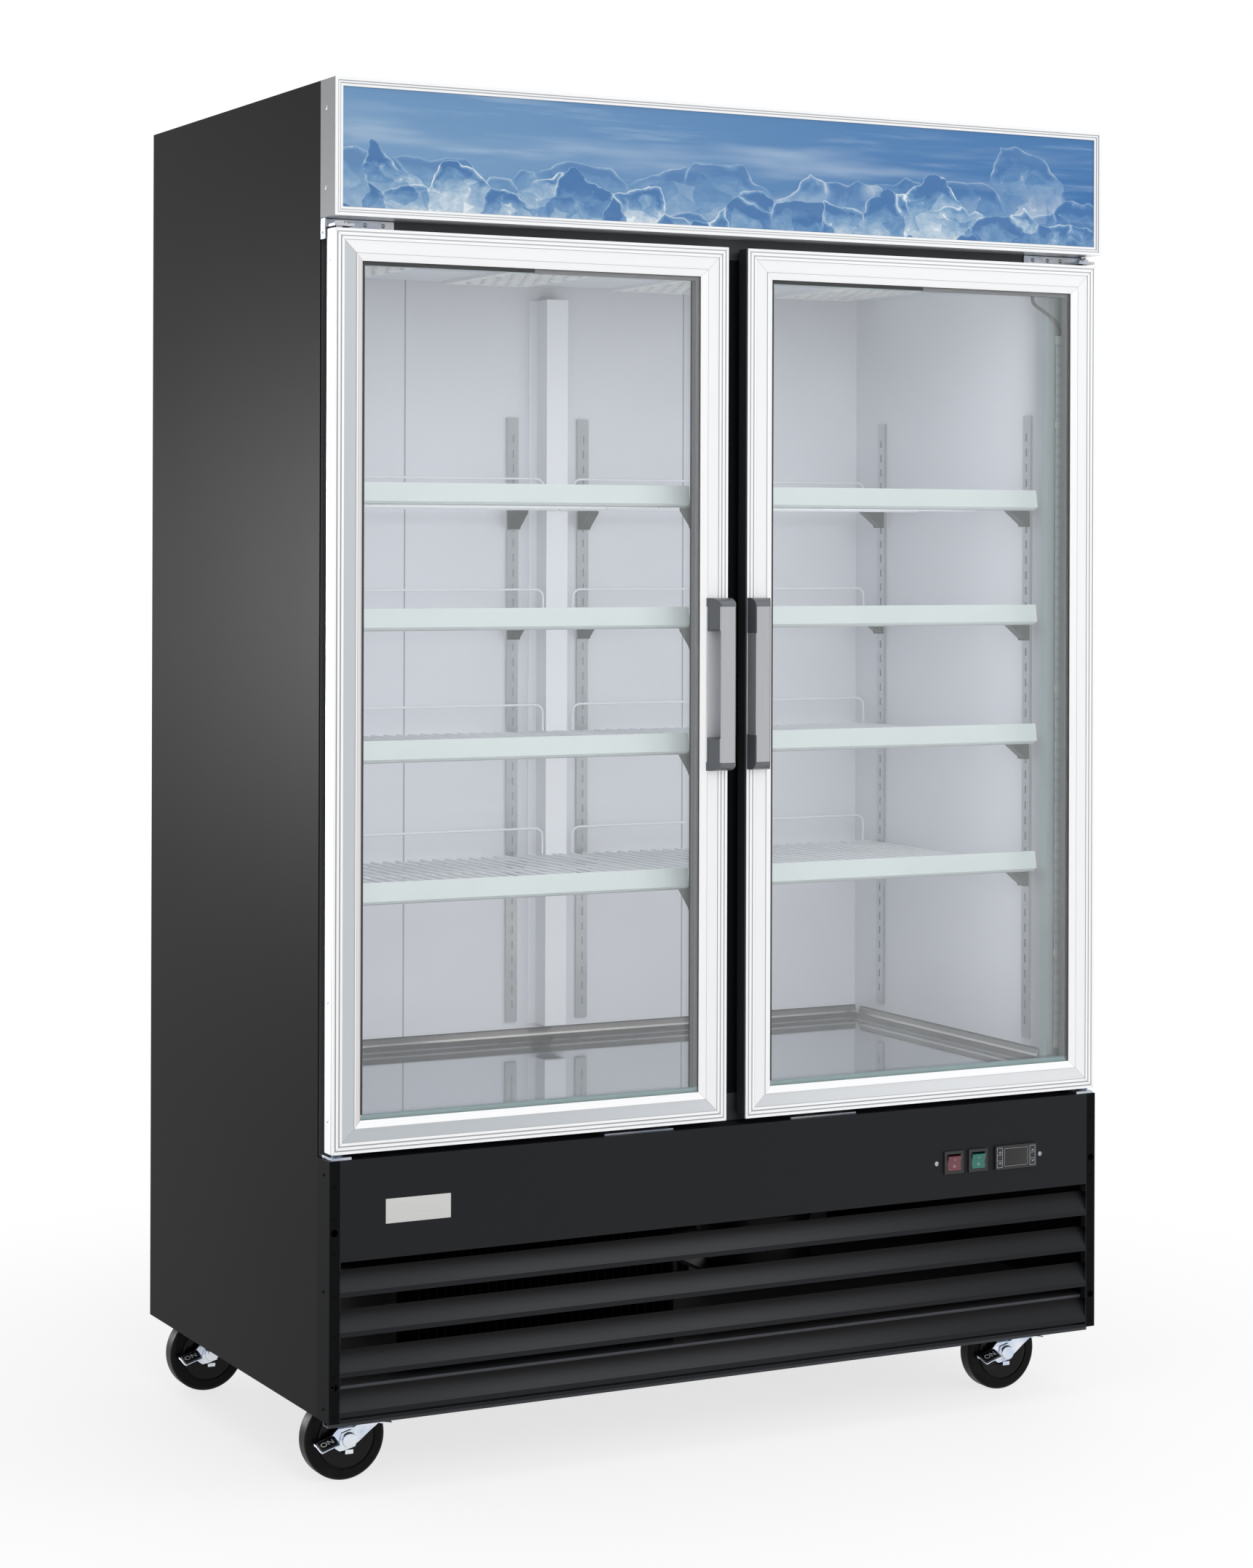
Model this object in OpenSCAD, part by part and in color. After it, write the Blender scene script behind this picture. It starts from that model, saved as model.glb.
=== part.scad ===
// Two-door glass merchandiser on braked swivel casters, with a lit header above the doors.
// Frame: +Z up with the floor at z = 0, +Y towards the back, and +X to the right seen from the
// front. The origin lies on the floor under the middle of the whole outline.

/* [Cabinet] */
// Width over the side panels
cabinet_w = 1346; // [1280:1:1420]
// Depth from the front face of the doors to the back panel
cabinet_d = 771; // [740:1:840]
// Floor clearance under the side panels
skirt_z = 112; // [108:1:124]
// Height of the base with the machine compartment
base_h = 380; // [360:1:420]
// Sheet metal of the outer panels
sheet_t = 1.5; // [1:0.1:2]
// Foam wall at each side, outer face to inner face
side_wall = 51; // [46:1:60]
// Back wall, outer face to inner face
back_wall = 106; // [90:1:120]
// Roof, top face to inner ceiling
roof_wall = 68; // [60:1:80]
// Rise of the cabin floor over the base
floor_rise = 42; // [36:1:60]
// Thickness of the dark front frame that faces the foam
face_t = 4; // [3:0.5:6]
// Sheet of the inner liner
liner_t = 1; // [0.8:0.1:1.2]
// Width of the centre mullion
mullion_w = 80; // [76:1:100]
// Depth of the centre mullion
mullion_d = 34; // [28:1:44]

/* [Header] */
// Height of the lit header
header_h = 200; // [170:1:240]
// How far the header stands in front of the doors
header_proud = 10; // [6:1:12]
// Visible width of the header's stepped frame
header_lip = 13; // [11:1:18]
// Wall of the header frame
header_wall = 2; // [1.5:0.5:3]
// Thickness of the sign panel
sign_t = 2.8; // [2:0.1:3]

/* [Doors] */
// Height of each door
door_h = 1340; // [1280:1:1400]
// Depth of the aluminium door frame
door_t = 28; // [26:1:32]
// Width of the door frame's face
door_face = 46; // [42:1:54]
// Gap between the two doors
door_gap = 34; // [30:1:40]
// Inset of each door from the side of the cabinet
door_inset = 3.3; // [2.5:0.1:5]
// Gap under the doors
door_under = 9; // [8:0.5:14]
// Gap above the doors
door_over = 17; // [15:0.5:22]
// Depth of the door gasket
gasket_t = 18; // [14:1:20]
// Hinge axis, measured in from the door's outer edge
hinge_in = 13.7; // [12:0.1:18]
// Radius of the hinge pins
hinge_r = 5; // [4:0.5:6]
// Depth of each hinge bore in the door
hinge_depth = 30; // [20:1:40]
// Thickness of one pane
pane_t = 4; // [3:0.5:5]

/* [Handles] */
// Length of the steel grip bar
grip_len = 238; // [200:1:300]
// Height of the middle of the grip above the floor
grip_mid = 1171; // [1000:1:1300]
// How far the grip stands in front of the door
grip_proud = 30; // [26:1:34]
// Width of the grip bar
grip_w = 26; // [22:1:28]
// Width of the handle's foot on the door
grip_foot = 37; // [35:1:42]
// Height of the grip end cap above the bar
cap_rise = 13; // [10:1:18]
// Length of the end cap beside the finger gap
cap_len = 52; // [40:1:60]

/* [Shelves] */
// Heights of the shelf tops above the cabin floor
shelf_rise = [324, 534, 730, 918];
// Gap from the front frame back to the shelves
shelf_front = 6; // [4:1:20]
// Gap from the back wall forward to the shelves
shelf_back = 41; // [41:1:60]
// Gap from the cabin wall to the shelf
shelf_gap = 8; // [6:1:12]
// Gap between the left and right shelf
shelf_mid = 6; // [4:1:12]
// Diameter of the shelf rods
rod_d = 6; // [5:0.5:7]
// Diameter of the shelf wires
wire_d = 4; // [3:0.5:4.5]
// Wires in each shelf
wire_n = 28; // [16:1:30]
// Height of the rear guard wire
guard_h = 44; // [36:1:80]
// Height of the price strips
strip_h = 28; // [24:1:34]
// Length of the slotted shelf pilasters
pilaster_len = 1030; // [980:1:1060]
// Width of a pilaster
pilaster_w = 21; // [16:1:22]
// Pitch of the pilaster slots
slot_pitch = 25.4; // [25:0.1:38]

/* [Base] */
// Face width of the corner posts
post_w = 16; // [14:1:22]
// Height of the flat field of the front panel
flat_h = 147; // [130:1:160]
// Louvres in the front panel
louvre_n = 4; // [2:1:4]
// Pitch of the louvres
louvre_pitch = 58; // [50:1:58]
// Depth from the front of the panel to the back of a louvre
louvre_d = 13; // [10:1:14]

/* [Casters] */
// Wheel diameter
wheel_d = 127; // [120:1:130]
// Tread width
wheel_w = 32; // [28:1:34]
// Overall height of a caster
caster_h = 160; // [156:1:164]
// Offset of the wheel from the swivel axis
trail = 25; // [20:1:28]
// Sideways place of the swivel axes
caster_x = 582; // [560:1:584]
// Front swivel axes, measured back from the door face
caster_front_y = 111; // [111:1:120]
// Rear swivel axes, measured back from the door face
caster_rear_y = 690; // [640:1:692]
// Radius of the wheel axle
axle_r = 5; // [4:0.5:6]

/* [Controls] */
// Height of the middle of the controls
control_z = 402; // [395:1:410]
// Side of the square switch bezels
bezel = 36; // [32:1:38]
// Width of the thermostat face
stat_w = 79; // [76:1:90]
// Height of the thermostat face
stat_h = 38; // [34:1:42]
// Middle of the left switch from the centre line
switch_x = 398; // [380:1:405]
// Pitch of the two switches
switch_pitch = 46; // [42:1:48]

/* [Hidden] */
$fn = 48;

// Clearances
fit = 0.3;          // between pieces that are set side by side
pin_fit = 0.05;     // radial, between a pin and its bore
big = 3000;         // longer than the cabinet, for cuts that run right through

// Heights above the floor
deck_z = skirt_z + base_h;
door_z = deck_z + door_under;
door_top = door_z + door_h;
header_z = door_top + door_over;
total_h = header_z + header_h;
floor_z = deck_z + floor_rise;
roof_z = total_h - roof_wall;
lintel_drop = 15;
opening_top = door_top - lintel_drop;

// Widths and depths. Y is measured back from the door face here, and set_in() moves it
// to the origin under the middle of the outline.
half_w = cabinet_w / 2;
case_y = door_t + gasket_t;
mid_y = (cabinet_d - grip_proud) / 2;
inner_x = half_w - side_wall;
inner_y = cabinet_d - back_wall;
foam_y = case_y + face_t;
throat_y = case_y + mullion_d + 4;      // where the cabin's liner begins
step = 27;                              // sideways step of the throat, a rebate for the lamps
step_y = case_y + 20;                   // depth of that rebate
door_w = half_w - door_inset - door_gap / 2;
hinge_x = half_w - door_inset - hinge_in;
hinge_y = door_t / 2;

module set_in() translate([0, -mid_y, 0]) children();
module box(x0, x1, y0, y1, z0, z1)
    translate([x0, y0, z0]) cube([x1 - x0, y1 - y0, z1 - z0]);
// Extrudes a (y, z) outline from x0 to x1
module along_x(x0, x1) translate([x0, 0, 0]) rotate([90, 0, 90]) linear_extrude(x1 - x0) children();
// Extrudes an (x, z) outline from y0 to y1
module along_y(y0, y1) translate([0, y1, 0]) rotate([90, 0, 0]) linear_extrude(y1 - y0) children();
// Extrudes an (x, y) outline from z0 to z1
module along_z(z0, z1) translate([0, 0, z0]) linear_extrude(z1 - z0) children();
module rect(x0, x1, y0, y1) translate([x0, y0]) square([x1 - x0, y1 - y0]);
module flip_x() mirror([1, 0, 0]) children();
module both_sides() {
    children();
    flip_x() children();
}

// One bar of a mitred frame. The child is its (y, t) profile, t measured in from the outer edge.
module mitred_bar(len, reach) {
    intersection() {
        along_x(0, len) children();
        along_y(-50, 100) polygon([[0, 0], [len, 0], [len - reach, reach], [reach, reach]]);
    }
}
module mitred_frame(w, h, reach) {
    mitred_bar(w, reach) children();
    translate([0, 0, h]) mirror([0, 0, 1]) mitred_bar(w, reach) children();
    mirror([1, 0, -1]) mitred_bar(h, reach) children();
    translate([w, 0, 0]) flip_x() mirror([1, 0, -1]) mitred_bar(h, reach) children();
}

// ---- Outer casing ----------------------------------------------------------------------

hem = 12;

module side_panel() {
    box(half_w - sheet_t, half_w, case_y, cabinet_d, skirt_z, total_h);
    box(half_w - hem, half_w, case_y + sheet_t, cabinet_d - sheet_t, skirt_z, skirt_z + sheet_t);
    box(half_w - hem, half_w, case_y, case_y + sheet_t, skirt_z, deck_z - fit);
}
module left_side_panel() color([0.13, 0.14, 0.15]) flip_x() side_panel();
module right_side_panel() color([0.13, 0.14, 0.15]) side_panel();

module top_panel() {
    color([0.16, 0.17, 0.18])
        box(-half_w + sheet_t, half_w - sheet_t, case_y, cabinet_d, total_h - sheet_t, total_h);
}

vent_n = 9;
vent_w = 120;

module back_panel() {
    color([0.14, 0.15, 0.16]) difference() {
        box(-half_w + sheet_t, half_w - sheet_t, cabinet_d - sheet_t, cabinet_d,
            skirt_z, total_h - sheet_t);
        for (col = [-1.5 : 1.5], row = [0 : vent_n - 1])
            translate([col * 260, cabinet_d, skirt_z + 90 + row * 30])
                box(-vent_w / 2, vent_w / 2, -5, 5, -4, 4);
    }
}

// Door opening in plan, wider in front of the cabin walls. It is grown by g for the hole in
// the foam.
module throat(g) {
    rect(-inner_x - step - g, inner_x + step + g, case_y - 1, step_y + g);
    rect(-inner_x - g, inner_x + g, case_y, throat_y);
}

module foam_body() {
    color([0.86, 0.8, 0.55]) difference() {
        box(-half_w + sheet_t, half_w - sheet_t, foam_y, cabinet_d - sheet_t,
            deck_z, total_h - sheet_t);
        box(-inner_x - liner_t, inner_x + liner_t, throat_y, inner_y + liner_t,
            floor_z - liner_t, roof_z + liner_t);
        along_z(floor_z - face_t, opening_top + face_t) throat(face_t);
    }
}

module inner_liner() {
    color([0.86, 0.88, 0.89]) difference() {
        box(-inner_x - liner_t, inner_x + liner_t, throat_y, inner_y + liner_t,
            floor_z - liner_t, roof_z + liner_t);
        box(-inner_x, inner_x, throat_y + liner_t, inner_y, floor_z, roof_z);
        box(-inner_x, inner_x, throat_y - 1, throat_y + 2, floor_z, opening_top);
    }
}

// Dark frame round the door opening, with a stepped throat, a sill, a lintel and the plate
// behind the header
module front_frame() {
    edge = half_w - sheet_t - fit;
    color([0.10, 0.11, 0.12]) difference() {
        union() {
            box(-edge, edge, case_y, foam_y, deck_z, total_h - sheet_t);
            intersection() {
                along_z(floor_z - face_t, opening_top + face_t) throat(face_t);
                box(-big, big, case_y, big, 0, big);
            }
        }
        along_z(floor_z, opening_top) throat(0);
    }
}

module centre_mullion() {
    half = mullion_w / 2;
    color([0.10, 0.11, 0.12]) difference() {
        box(-half, half, case_y, case_y + mullion_d, floor_z, opening_top);
        // Shallow channel down the front face between the two gaskets
        box(-door_gap / 4, door_gap / 4, case_y - 1, case_y + 2, floor_z - 1, opening_top + 1);
    }
}

cove = 22;      // height of the floor's cove rails

module floor_panel() {
    x1 = inner_x - fit;
    y0 = throat_y + fit;
    y1 = inner_y - fit;
    top = floor_z + 1.2;
    color([0.72, 0.74, 0.76]) {
        box(-x1, x1, y0, y1, floor_z, top);
        both_sides() along_y(y0, y1 - cove)
            polygon([[x1 - cove, top], [x1, top], [x1, top + cove], [x1 - 2, top + cove],
                     [x1 - 6, top + 8]]);
        along_x(-x1, x1)
            polygon([[y1 - cove, top], [y1, top], [y1, top + cove], [y1 - 2, top + cove],
                     [y1 - 6, top + 8]]);
    }
}

// ---- Evaporator under the ceiling -------------------------------------------------------

cover_z = opening_top - 4;      // underside of the evaporator cover
cover_y1 = inner_y - 65;        // its back wall
grille_w = 152;
grille_d = 300;
grille_x = [-472, -157, 157, 472];
grille_y = cover_y1 - 15 - grille_d / 2;
slot_rows = 10;
slot_cols = 6;

module evaporator_cover() {
    x1 = inner_x - fit;
    y0 = throat_y + liner_t + fit;
    color([0.80, 0.82, 0.84]) difference() {
        union() {
            difference() {
                box(-x1, x1, y0, cover_y1, cover_z, roof_z);
                box(-x1 + sheet_t, x1 - sheet_t, y0 + sheet_t, cover_y1 - sheet_t,
                    cover_z + sheet_t, roof_z + 1);
            }
            // Bulkhead with the fan's round opening
            difference() {
                box(-x1, x1, evap_fan_y + 8, evap_fan_y + 9.5, cover_z, roof_z);
                translate([0, evap_fan_y, evap_fan_z]) rotate([-90, 0, 0]) cylinder(r = 72, h = 30);
            }
        }
        for (x = grille_x)
            translate([x, grille_y, cover_z])
                box(-grille_w / 2 + 4, grille_w / 2 - 4, -grille_d / 2 + 4, grille_d / 2 - 4, -1, 5);
        // Outlets in the back wall
        for (i = [-3 : 3])
            box(i * 160 - 60, i * 160 + 60, cover_y1 - 5, cover_y1 + 5, cover_z + 50, cover_z + 110);
    }
}

// Brick-pattern grille in each ceiling opening
module ceiling_grilles() {
    pitch_x = (grille_w - 10) / slot_cols;
    pitch_y = (grille_d - 14) / slot_rows;
    color([0.93, 0.94, 0.94]) for (x = grille_x) translate([x, grille_y, cover_z]) difference() {
        box(-grille_w / 2, grille_w / 2, -grille_d / 2, grille_d / 2, -5, 0);
        for (row = [0 : slot_rows - 1], col = [0 : slot_cols - 1 - row % 2]) {
            x0 = -grille_w / 2 + 5 + (col + (row % 2) / 2) * pitch_x;
            y0 = -grille_d / 2 + 7 + row * pitch_y;
            box(x0 + 1.5, x0 + pitch_x - 1.5, y0 + 1.5, y0 + pitch_y - 1.5, -6, 1);
        }
    }
}

coil_x = 450;
coil_y = inner_y - 190;
coil_d = 110;
evap_fan_y = coil_y - 90;
evap_fan_z = (cover_z + roof_z) / 2;
motor_r = 36;

// Comb of fins standing on a spine, extruded along Z
module fin_comb(x1, y0, depth, n, z0, z1) {
    pitch = 2 * x1 / n;
    along_z(z0, z1) {
        rect(-x1, x1, y0 + depth * 0.4, y0 + depth * 0.6);
        for (i = [0 : n]) rect(-x1 + i * pitch - 1, -x1 + i * pitch + 1, y0, y0 + depth);
    }
}

module evaporator() {
    z0 = cover_z + sheet_t;
    z1 = roof_z;
    color([0.72, 0.74, 0.76]) {
        fin_comb(coil_x, coil_y, coil_d, 36, z0 + 22, z1 - 14);
        // Tube sheets that hang the coil from the ceiling
        both_sides() box(coil_x + 1, coil_x + 4, coil_y - 4, coil_y + coil_d + 4, z0 + 14, z1);
        // Return bends
        both_sides() for (i = [0 : 2]) translate([coil_x + 4, coil_y + 20 + i * 34, z0 + 70])
            rotate([0, 0, -90]) rotate_extrude(angle = 180) translate([12, 0]) circle(5);
        // Drip tray
        difference() {
            box(-coil_x - 34, coil_x + 34, coil_y - 12, coil_y + coil_d + 12, z0, z0 + 14);
            box(-coil_x - 32, coil_x + 32, coil_y - 10, coil_y + coil_d + 10, z0 + 2, z0 + 15);
        }
    }
    // Fan motor on a bracket from the ceiling
    color([0.25, 0.26, 0.28]) translate([0, evap_fan_y + 22, evap_fan_z]) {
        rotate([-90, 0, 0]) cylinder(r = motor_r, h = 44);
        rotate([90, 0, 0]) cylinder(r = 4, h = 22);
        box(-14, 14, 8, 36, motor_r - 4, z1 - evap_fan_z);
    }
}

// Axial fan: hub and pitched blades on the Y axis
module axial_fan(r, blades, depth, bore) {
    rotate([90, 0, 0]) difference() {
        union() {
            cylinder(r = r * 0.24, h = depth, center = true);
            intersection() {
                cylinder(r = r, h = depth, center = true);
                for (i = [0 : blades - 1]) rotate([0, 0, i * 360 / blades]) translate([r * 0.2, 0, 0])
                    rotate([38, 0, 0]) translate([0, -r * 0.3, -1]) cube([r, r * 0.6, 2]);
            }
        }
        cylinder(r = bore + pin_fit, h = depth * 2, center = true);
    }
}

module evaporator_fan() {
    color([0.15, 0.15, 0.16]) translate([0, evap_fan_y + 9, evap_fan_z])
        axial_fan(68, 5, 22, 4);
}

duct_w = 40;
duct_d = 40;
duct_z0 = floor_z + 30;
duct_z1 = cover_z - 20;

module rear_duct() {
    y1 = inner_y;
    color([0.84, 0.86, 0.88]) along_z(duct_z0, duct_z1) difference() {
        union() {
            rect(-duct_w / 2, duct_w / 2, y1 - duct_d, y1);
            rect(-duct_w / 2 - 15, duct_w / 2 + 15, y1 - 1.5, y1);
        }
        rect(-duct_w / 2 + 1.5, duct_w / 2 - 1.5, y1 - duct_d + 1.5, y1 + 1);
    }
}

// ---- Shelves -----------------------------------------------------------------------------

pilaster_t = 5;
pilaster_z = floor_z + 36;
slot_n = floor(pilaster_len / slot_pitch) - 1;
shelf_x0 = shelf_mid / 2;
shelf_x1 = inner_x - shelf_gap;
shelf_y1 = inner_y - shelf_back;
shelf_y0 = throat_y + shelf_front;
shelf_d = shelf_y1 - shelf_y0;
shelf_z = [for (h = shelf_rise) floor_z + h];
side_pilaster_y = [throat_y + 36, inner_y - 92];
back_pilaster_x = 67;
mullion_pilaster_x = 24;

// Slotted strip, its back on the plane y = 0 and its face towards -Y
module pilaster() {
    difference() {
        box(-pilaster_w / 2, pilaster_w / 2, -pilaster_t, 0, pilaster_z, pilaster_z + pilaster_len);
        for (i = [0 : slot_n - 1]) translate([0, 0, pilaster_z + (i + 0.9) * slot_pitch])
            box(-2, 2, -pilaster_t - 1, -pilaster_t + 2.5, 0, 13);
    }
}

// Puts children at each pilaster of the right half
module at_pilasters() {
    for (y = side_pilaster_y)
        translate([inner_x, y, 0]) rotate([0, 0, -90]) children();
    translate([back_pilaster_x, inner_y, 0]) children();
    translate([mullion_pilaster_x, case_y + mullion_d, 0]) rotate([0, 0, 180]) children();
}

module pilasters() color([0.70, 0.72, 0.74]) both_sides() at_pilasters() pilaster();

clip_reach = 40;    // how far a clip reaches from the pilaster's face
clip_w = 20;

// Clip on a pilaster: side view (y, z), its top under the shelf
module clip_side()
    polygon([[0, -32], [0, 0], [clip_reach, 0], [clip_reach, -4], [9, -29], [9, -32]]);
module shelf_clip(z) translate([0, -pilaster_t, z]) rotate([0, 0, 180])
    along_x(-clip_w / 2, clip_w / 2) clip_side();
module shelf_clips() {
    color([0.17, 0.18, 0.2]) for (top = shelf_z) both_sides() {
        z = top - wire_d;
        for (y = side_pilaster_y) translate([inner_x, y, 0]) rotate([0, 0, -90]) shelf_clip(z);
        translate([back_pilaster_x, inner_y, 0]) shelf_clip(z - rod_d + 0.3);
        translate([mullion_pilaster_x, case_y + mullion_d, 0]) rotate([0, 0, 180])
            shelf_clip(z - rod_d + 0.3);
    }
}

module rod_x(x0, x1, d, sides) translate([x0, 0, 0]) rotate([90, 0, 90]) rotate([0, 0, 180 / sides])
    cylinder(d = d / cos(180 / sides), h = x1 - x0, $fn = sides);
module rod_y(y0, y1, d, sides) translate([0, y0, 0]) rotate([-90, 0, 0]) rotate([0, 0, 180 / sides])
    cylinder(d = d / cos(180 / sides), h = y1 - y0, $fn = sides);

guard_bend = 14;
wire_pitch = (shelf_x1 - shelf_x0 - rod_d) / (wire_n - 1);

// Wire shelf for the right half, its wires' tops at height z, with a guard wire at the rear
module shelf(z) {
    rod_z = z - wire_d - rod_d / 2 + 0.3;
    color([0.87, 0.89, 0.9]) {
        for (y = [shelf_y0 + rod_d / 2, shelf_y0 + shelf_d * 0.33, shelf_y0 + shelf_d * 0.67,
                  shelf_y1 - rod_d / 2])
            translate([0, y, rod_z]) rod_x(shelf_x0, shelf_x1, rod_d, 8);
        for (i = [0 : wire_n - 1])
            translate([shelf_x0 + rod_d / 2 + i * wire_pitch, 0, z - wire_d / 2])
                rod_y(shelf_y0, shelf_y1, wire_d, 8);
        guard(z);
    }
}

module guard(z) {
    x0 = shelf_x0 + rod_d / 2 + wire_pitch;
    x1 = shelf_x1 - rod_d / 2;
    y = shelf_y1 - rod_d / 2;
    seat = 0.03;    // each foot stands this far over its wire
    r = wire_d / 2;
    for (x = [x0, x1]) translate([x, y, z + seat]) cylinder(r = r, h = guard_h - guard_bend - seat);
    translate([0, y, z + guard_h]) {
        translate([x0 + guard_bend, 0, 0]) rotate([0, 90, 0])
            cylinder(r = r, h = x1 - x0 - 2 * guard_bend);
        translate([x0 + guard_bend, 0, -guard_bend]) rotate([90, 0, 0])
            rotate([0, 0, 90]) rotate_extrude(angle = 90) translate([guard_bend, 0]) circle(r);
        translate([x1 - guard_bend, 0, -guard_bend]) rotate([90, 0, 0])
            rotate_extrude(angle = 90) translate([guard_bend, 0]) circle(r);
    }
}

module shelf_pair(level) both_sides() shelf(shelf_z[level]);
module shelves_bottom() shelf_pair(0);
module shelves_second() shelf_pair(1);
module shelves_third() shelf_pair(2);
module shelves_top() shelf_pair(3);

// Label strips clipped on the front rod of each shelf, leaning back a little
module price_strips() {
    lean = 5;
    rise = 24;      // how far a strip stands over the wires
    color([0.80, 0.88, 0.86]) for (z = shelf_z) both_sides()
        along_x(mullion_w / 2 - 2, shelf_x1) polygon([
            [shelf_y0 - lean - 2, z + rise - strip_h], [shelf_y0 - 2.5, z + rise],
            [shelf_y0, z + rise], [shelf_y0, z - wire_d - rod_d / 2],
            [shelf_y0 - lean, z + rise - strip_h]
        ]);
}

// ---- Cabin lamps --------------------------------------------------------------------------

tube_r = 7.5;
tube_x = inner_x + 18;
tube_y = case_y + 11;
tube_z0 = floor_z + 41;
tube_z1 = opening_top - 111;
tube_cap = 14;
lead_r = 3;

module led_tubes() {
    color([0.85, 0.9, 0.92, 0.5]) both_sides() translate([tube_x, tube_y, tube_z0]) difference() {
        cylinder(r = tube_r, h = tube_z1 - tube_z0);
        translate([0, 0, -1]) cylinder(r = tube_r - 1.2, h = tube_z1 - tube_z0 + 2);
    }
}

// Points of the lamp lead from the tube's cap, round the rebate, up to the evaporator cover
lead_route = [for (p = [
    [0, 0, 14], [0, 0, 18], [-1, 0, 25], [-5, 0.5, 33], [-12, 1.5, 41], [-20, 4, 48],
    [-25.5, 10, 54], [-28.5, 19, 60], [-29.7, 28, 65], [-30, 34, 70], [-30, 37, 76],
    [-30, 38, 82], [-30, 38, 107]
]) [tube_x, tube_y, tube_z1] + p];
function unit(v) = v / norm(v);
function direction(p, i) =
    i == 0 ? [0, 0, 1] : i == len(p) - 1 ? [0, 0, 1] : unit(p[i + 1] - p[i - 1]);
function ring(p, i, r, sides) =
    let (d = direction(p, i), u = unit(cross(d, [1, 0, 0])), v = cross(d, u))
    [for (k = [0 : sides - 1]) p[i] + r * (cos(360 * k / sides) * u + sin(360 * k / sides) * v)];
module sweep(p, r, sides) {
    n = len(p);
    points = [for (i = [0 : n - 1]) each ring(p, i, r, sides)];
    walls = [for (i = [0 : n - 2], k = [0 : sides - 1]) let (j = (k + 1) % sides)
        each [[i * sides + k, (i + 1) * sides + j, i * sides + j],
              [i * sides + k, (i + 1) * sides + k, (i + 1) * sides + j]]];
    start = [for (k = [1 : sides - 2]) [0, k, k + 1]];
    finish = [for (k = [1 : sides - 2]) [(n - 1) * sides, (n - 1) * sides + k + 1, (n - 1) * sides + k]];
    polyhedron(concat(points, []), concat(walls, start, finish));
}

module led_fittings() {
    both_sides() {
        // End caps
        color([0.93, 0.93, 0.93]) for (z = [tube_z0 - tube_cap, tube_z1])
            translate([tube_x, tube_y, z]) cylinder(r = tube_r + 1, h = tube_cap);
        // Lamp board inside the tube
        color([0.9, 0.92, 0.9]) translate([tube_x, tube_y, 0])
            box(-5, 5, 1, 2.5, tube_z0, tube_z1);
        // Clips that hold the tube on the back of the rebate
        color([0.9, 0.9, 0.9]) for (k = [0.12, 0.5, 0.88])
            translate([tube_x, tube_y, tube_z0 + k * (tube_z1 - tube_z0)]) difference() {
                union() {
                    cylinder(r = tube_r + 1.2, h = 10);
                    box(-3, 3, 0, step_y - tube_y, 0, 10);
                }
                translate([0, 0, -1]) cylinder(r = tube_r + fit, h = 12);
            }
        // Lead with its connector
        color([0.06, 0.06, 0.07]) {
            sweep(lead_route, lead_r, 8);
            translate([tube_x - 30, tube_y + 38, tube_z1 + 83]) {
                cylinder(r = 6, h = 21);
                translate([0, 0, 7]) cylinder(r = 7.5, h = 7);
            }
        }
    }
    // Light bar behind the header sign
    color([0.9, 0.9, 0.88]) box(-half_w * 0.88, half_w * 0.88, case_y - 14, case_y,
        header_z + header_h * 0.46, header_z + header_h * 0.54);
}

// ---- Header ---------------------------------------------------------------------------------

header_front = -header_proud;
sign_y = header_front + 4;

module header_frame() {
    color([0.82, 0.83, 0.85]) translate([-half_w, 0, header_z])
        mitred_frame(cabinet_w, header_h, header_lip) polygon([
            [header_front, 0], [header_front, 5], [header_front + 1, 5.4],
            [header_front + 1, 8.4], [header_front + 2, 8.8], [header_front + 2, header_lip],
            [header_front + 4, header_lip], [header_front + 4, header_wall],
            [case_y, header_wall], [case_y, 0]
        ]);
}

module header_sign() {
    inset = header_wall + 0.5;
    color([0.25, 0.5, 0.8]) box(-half_w + inset, half_w - inset, sign_y, sign_y + sign_t,
        header_z + inset, total_h - inset);
}

// ---- Base -----------------------------------------------------------------------------------

panel_x = half_w - post_w - fit;
panel_top = deck_z;
flat_z = panel_top - flat_h;
slat_face = 31;         // height of a louvre's sloping face
slat_lip = 7;           // height of its lip
slat_z = flat_z - 13;   // top of the first louvre
stat_x = switch_x + 118;
stat_cut_w = stat_w - 8;
stat_cut_h = stat_h - 9;
rocker_w = 24;
rocker_h = 23;
body_side = bezel - 6;  // side of the switch body behind the panel

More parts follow.
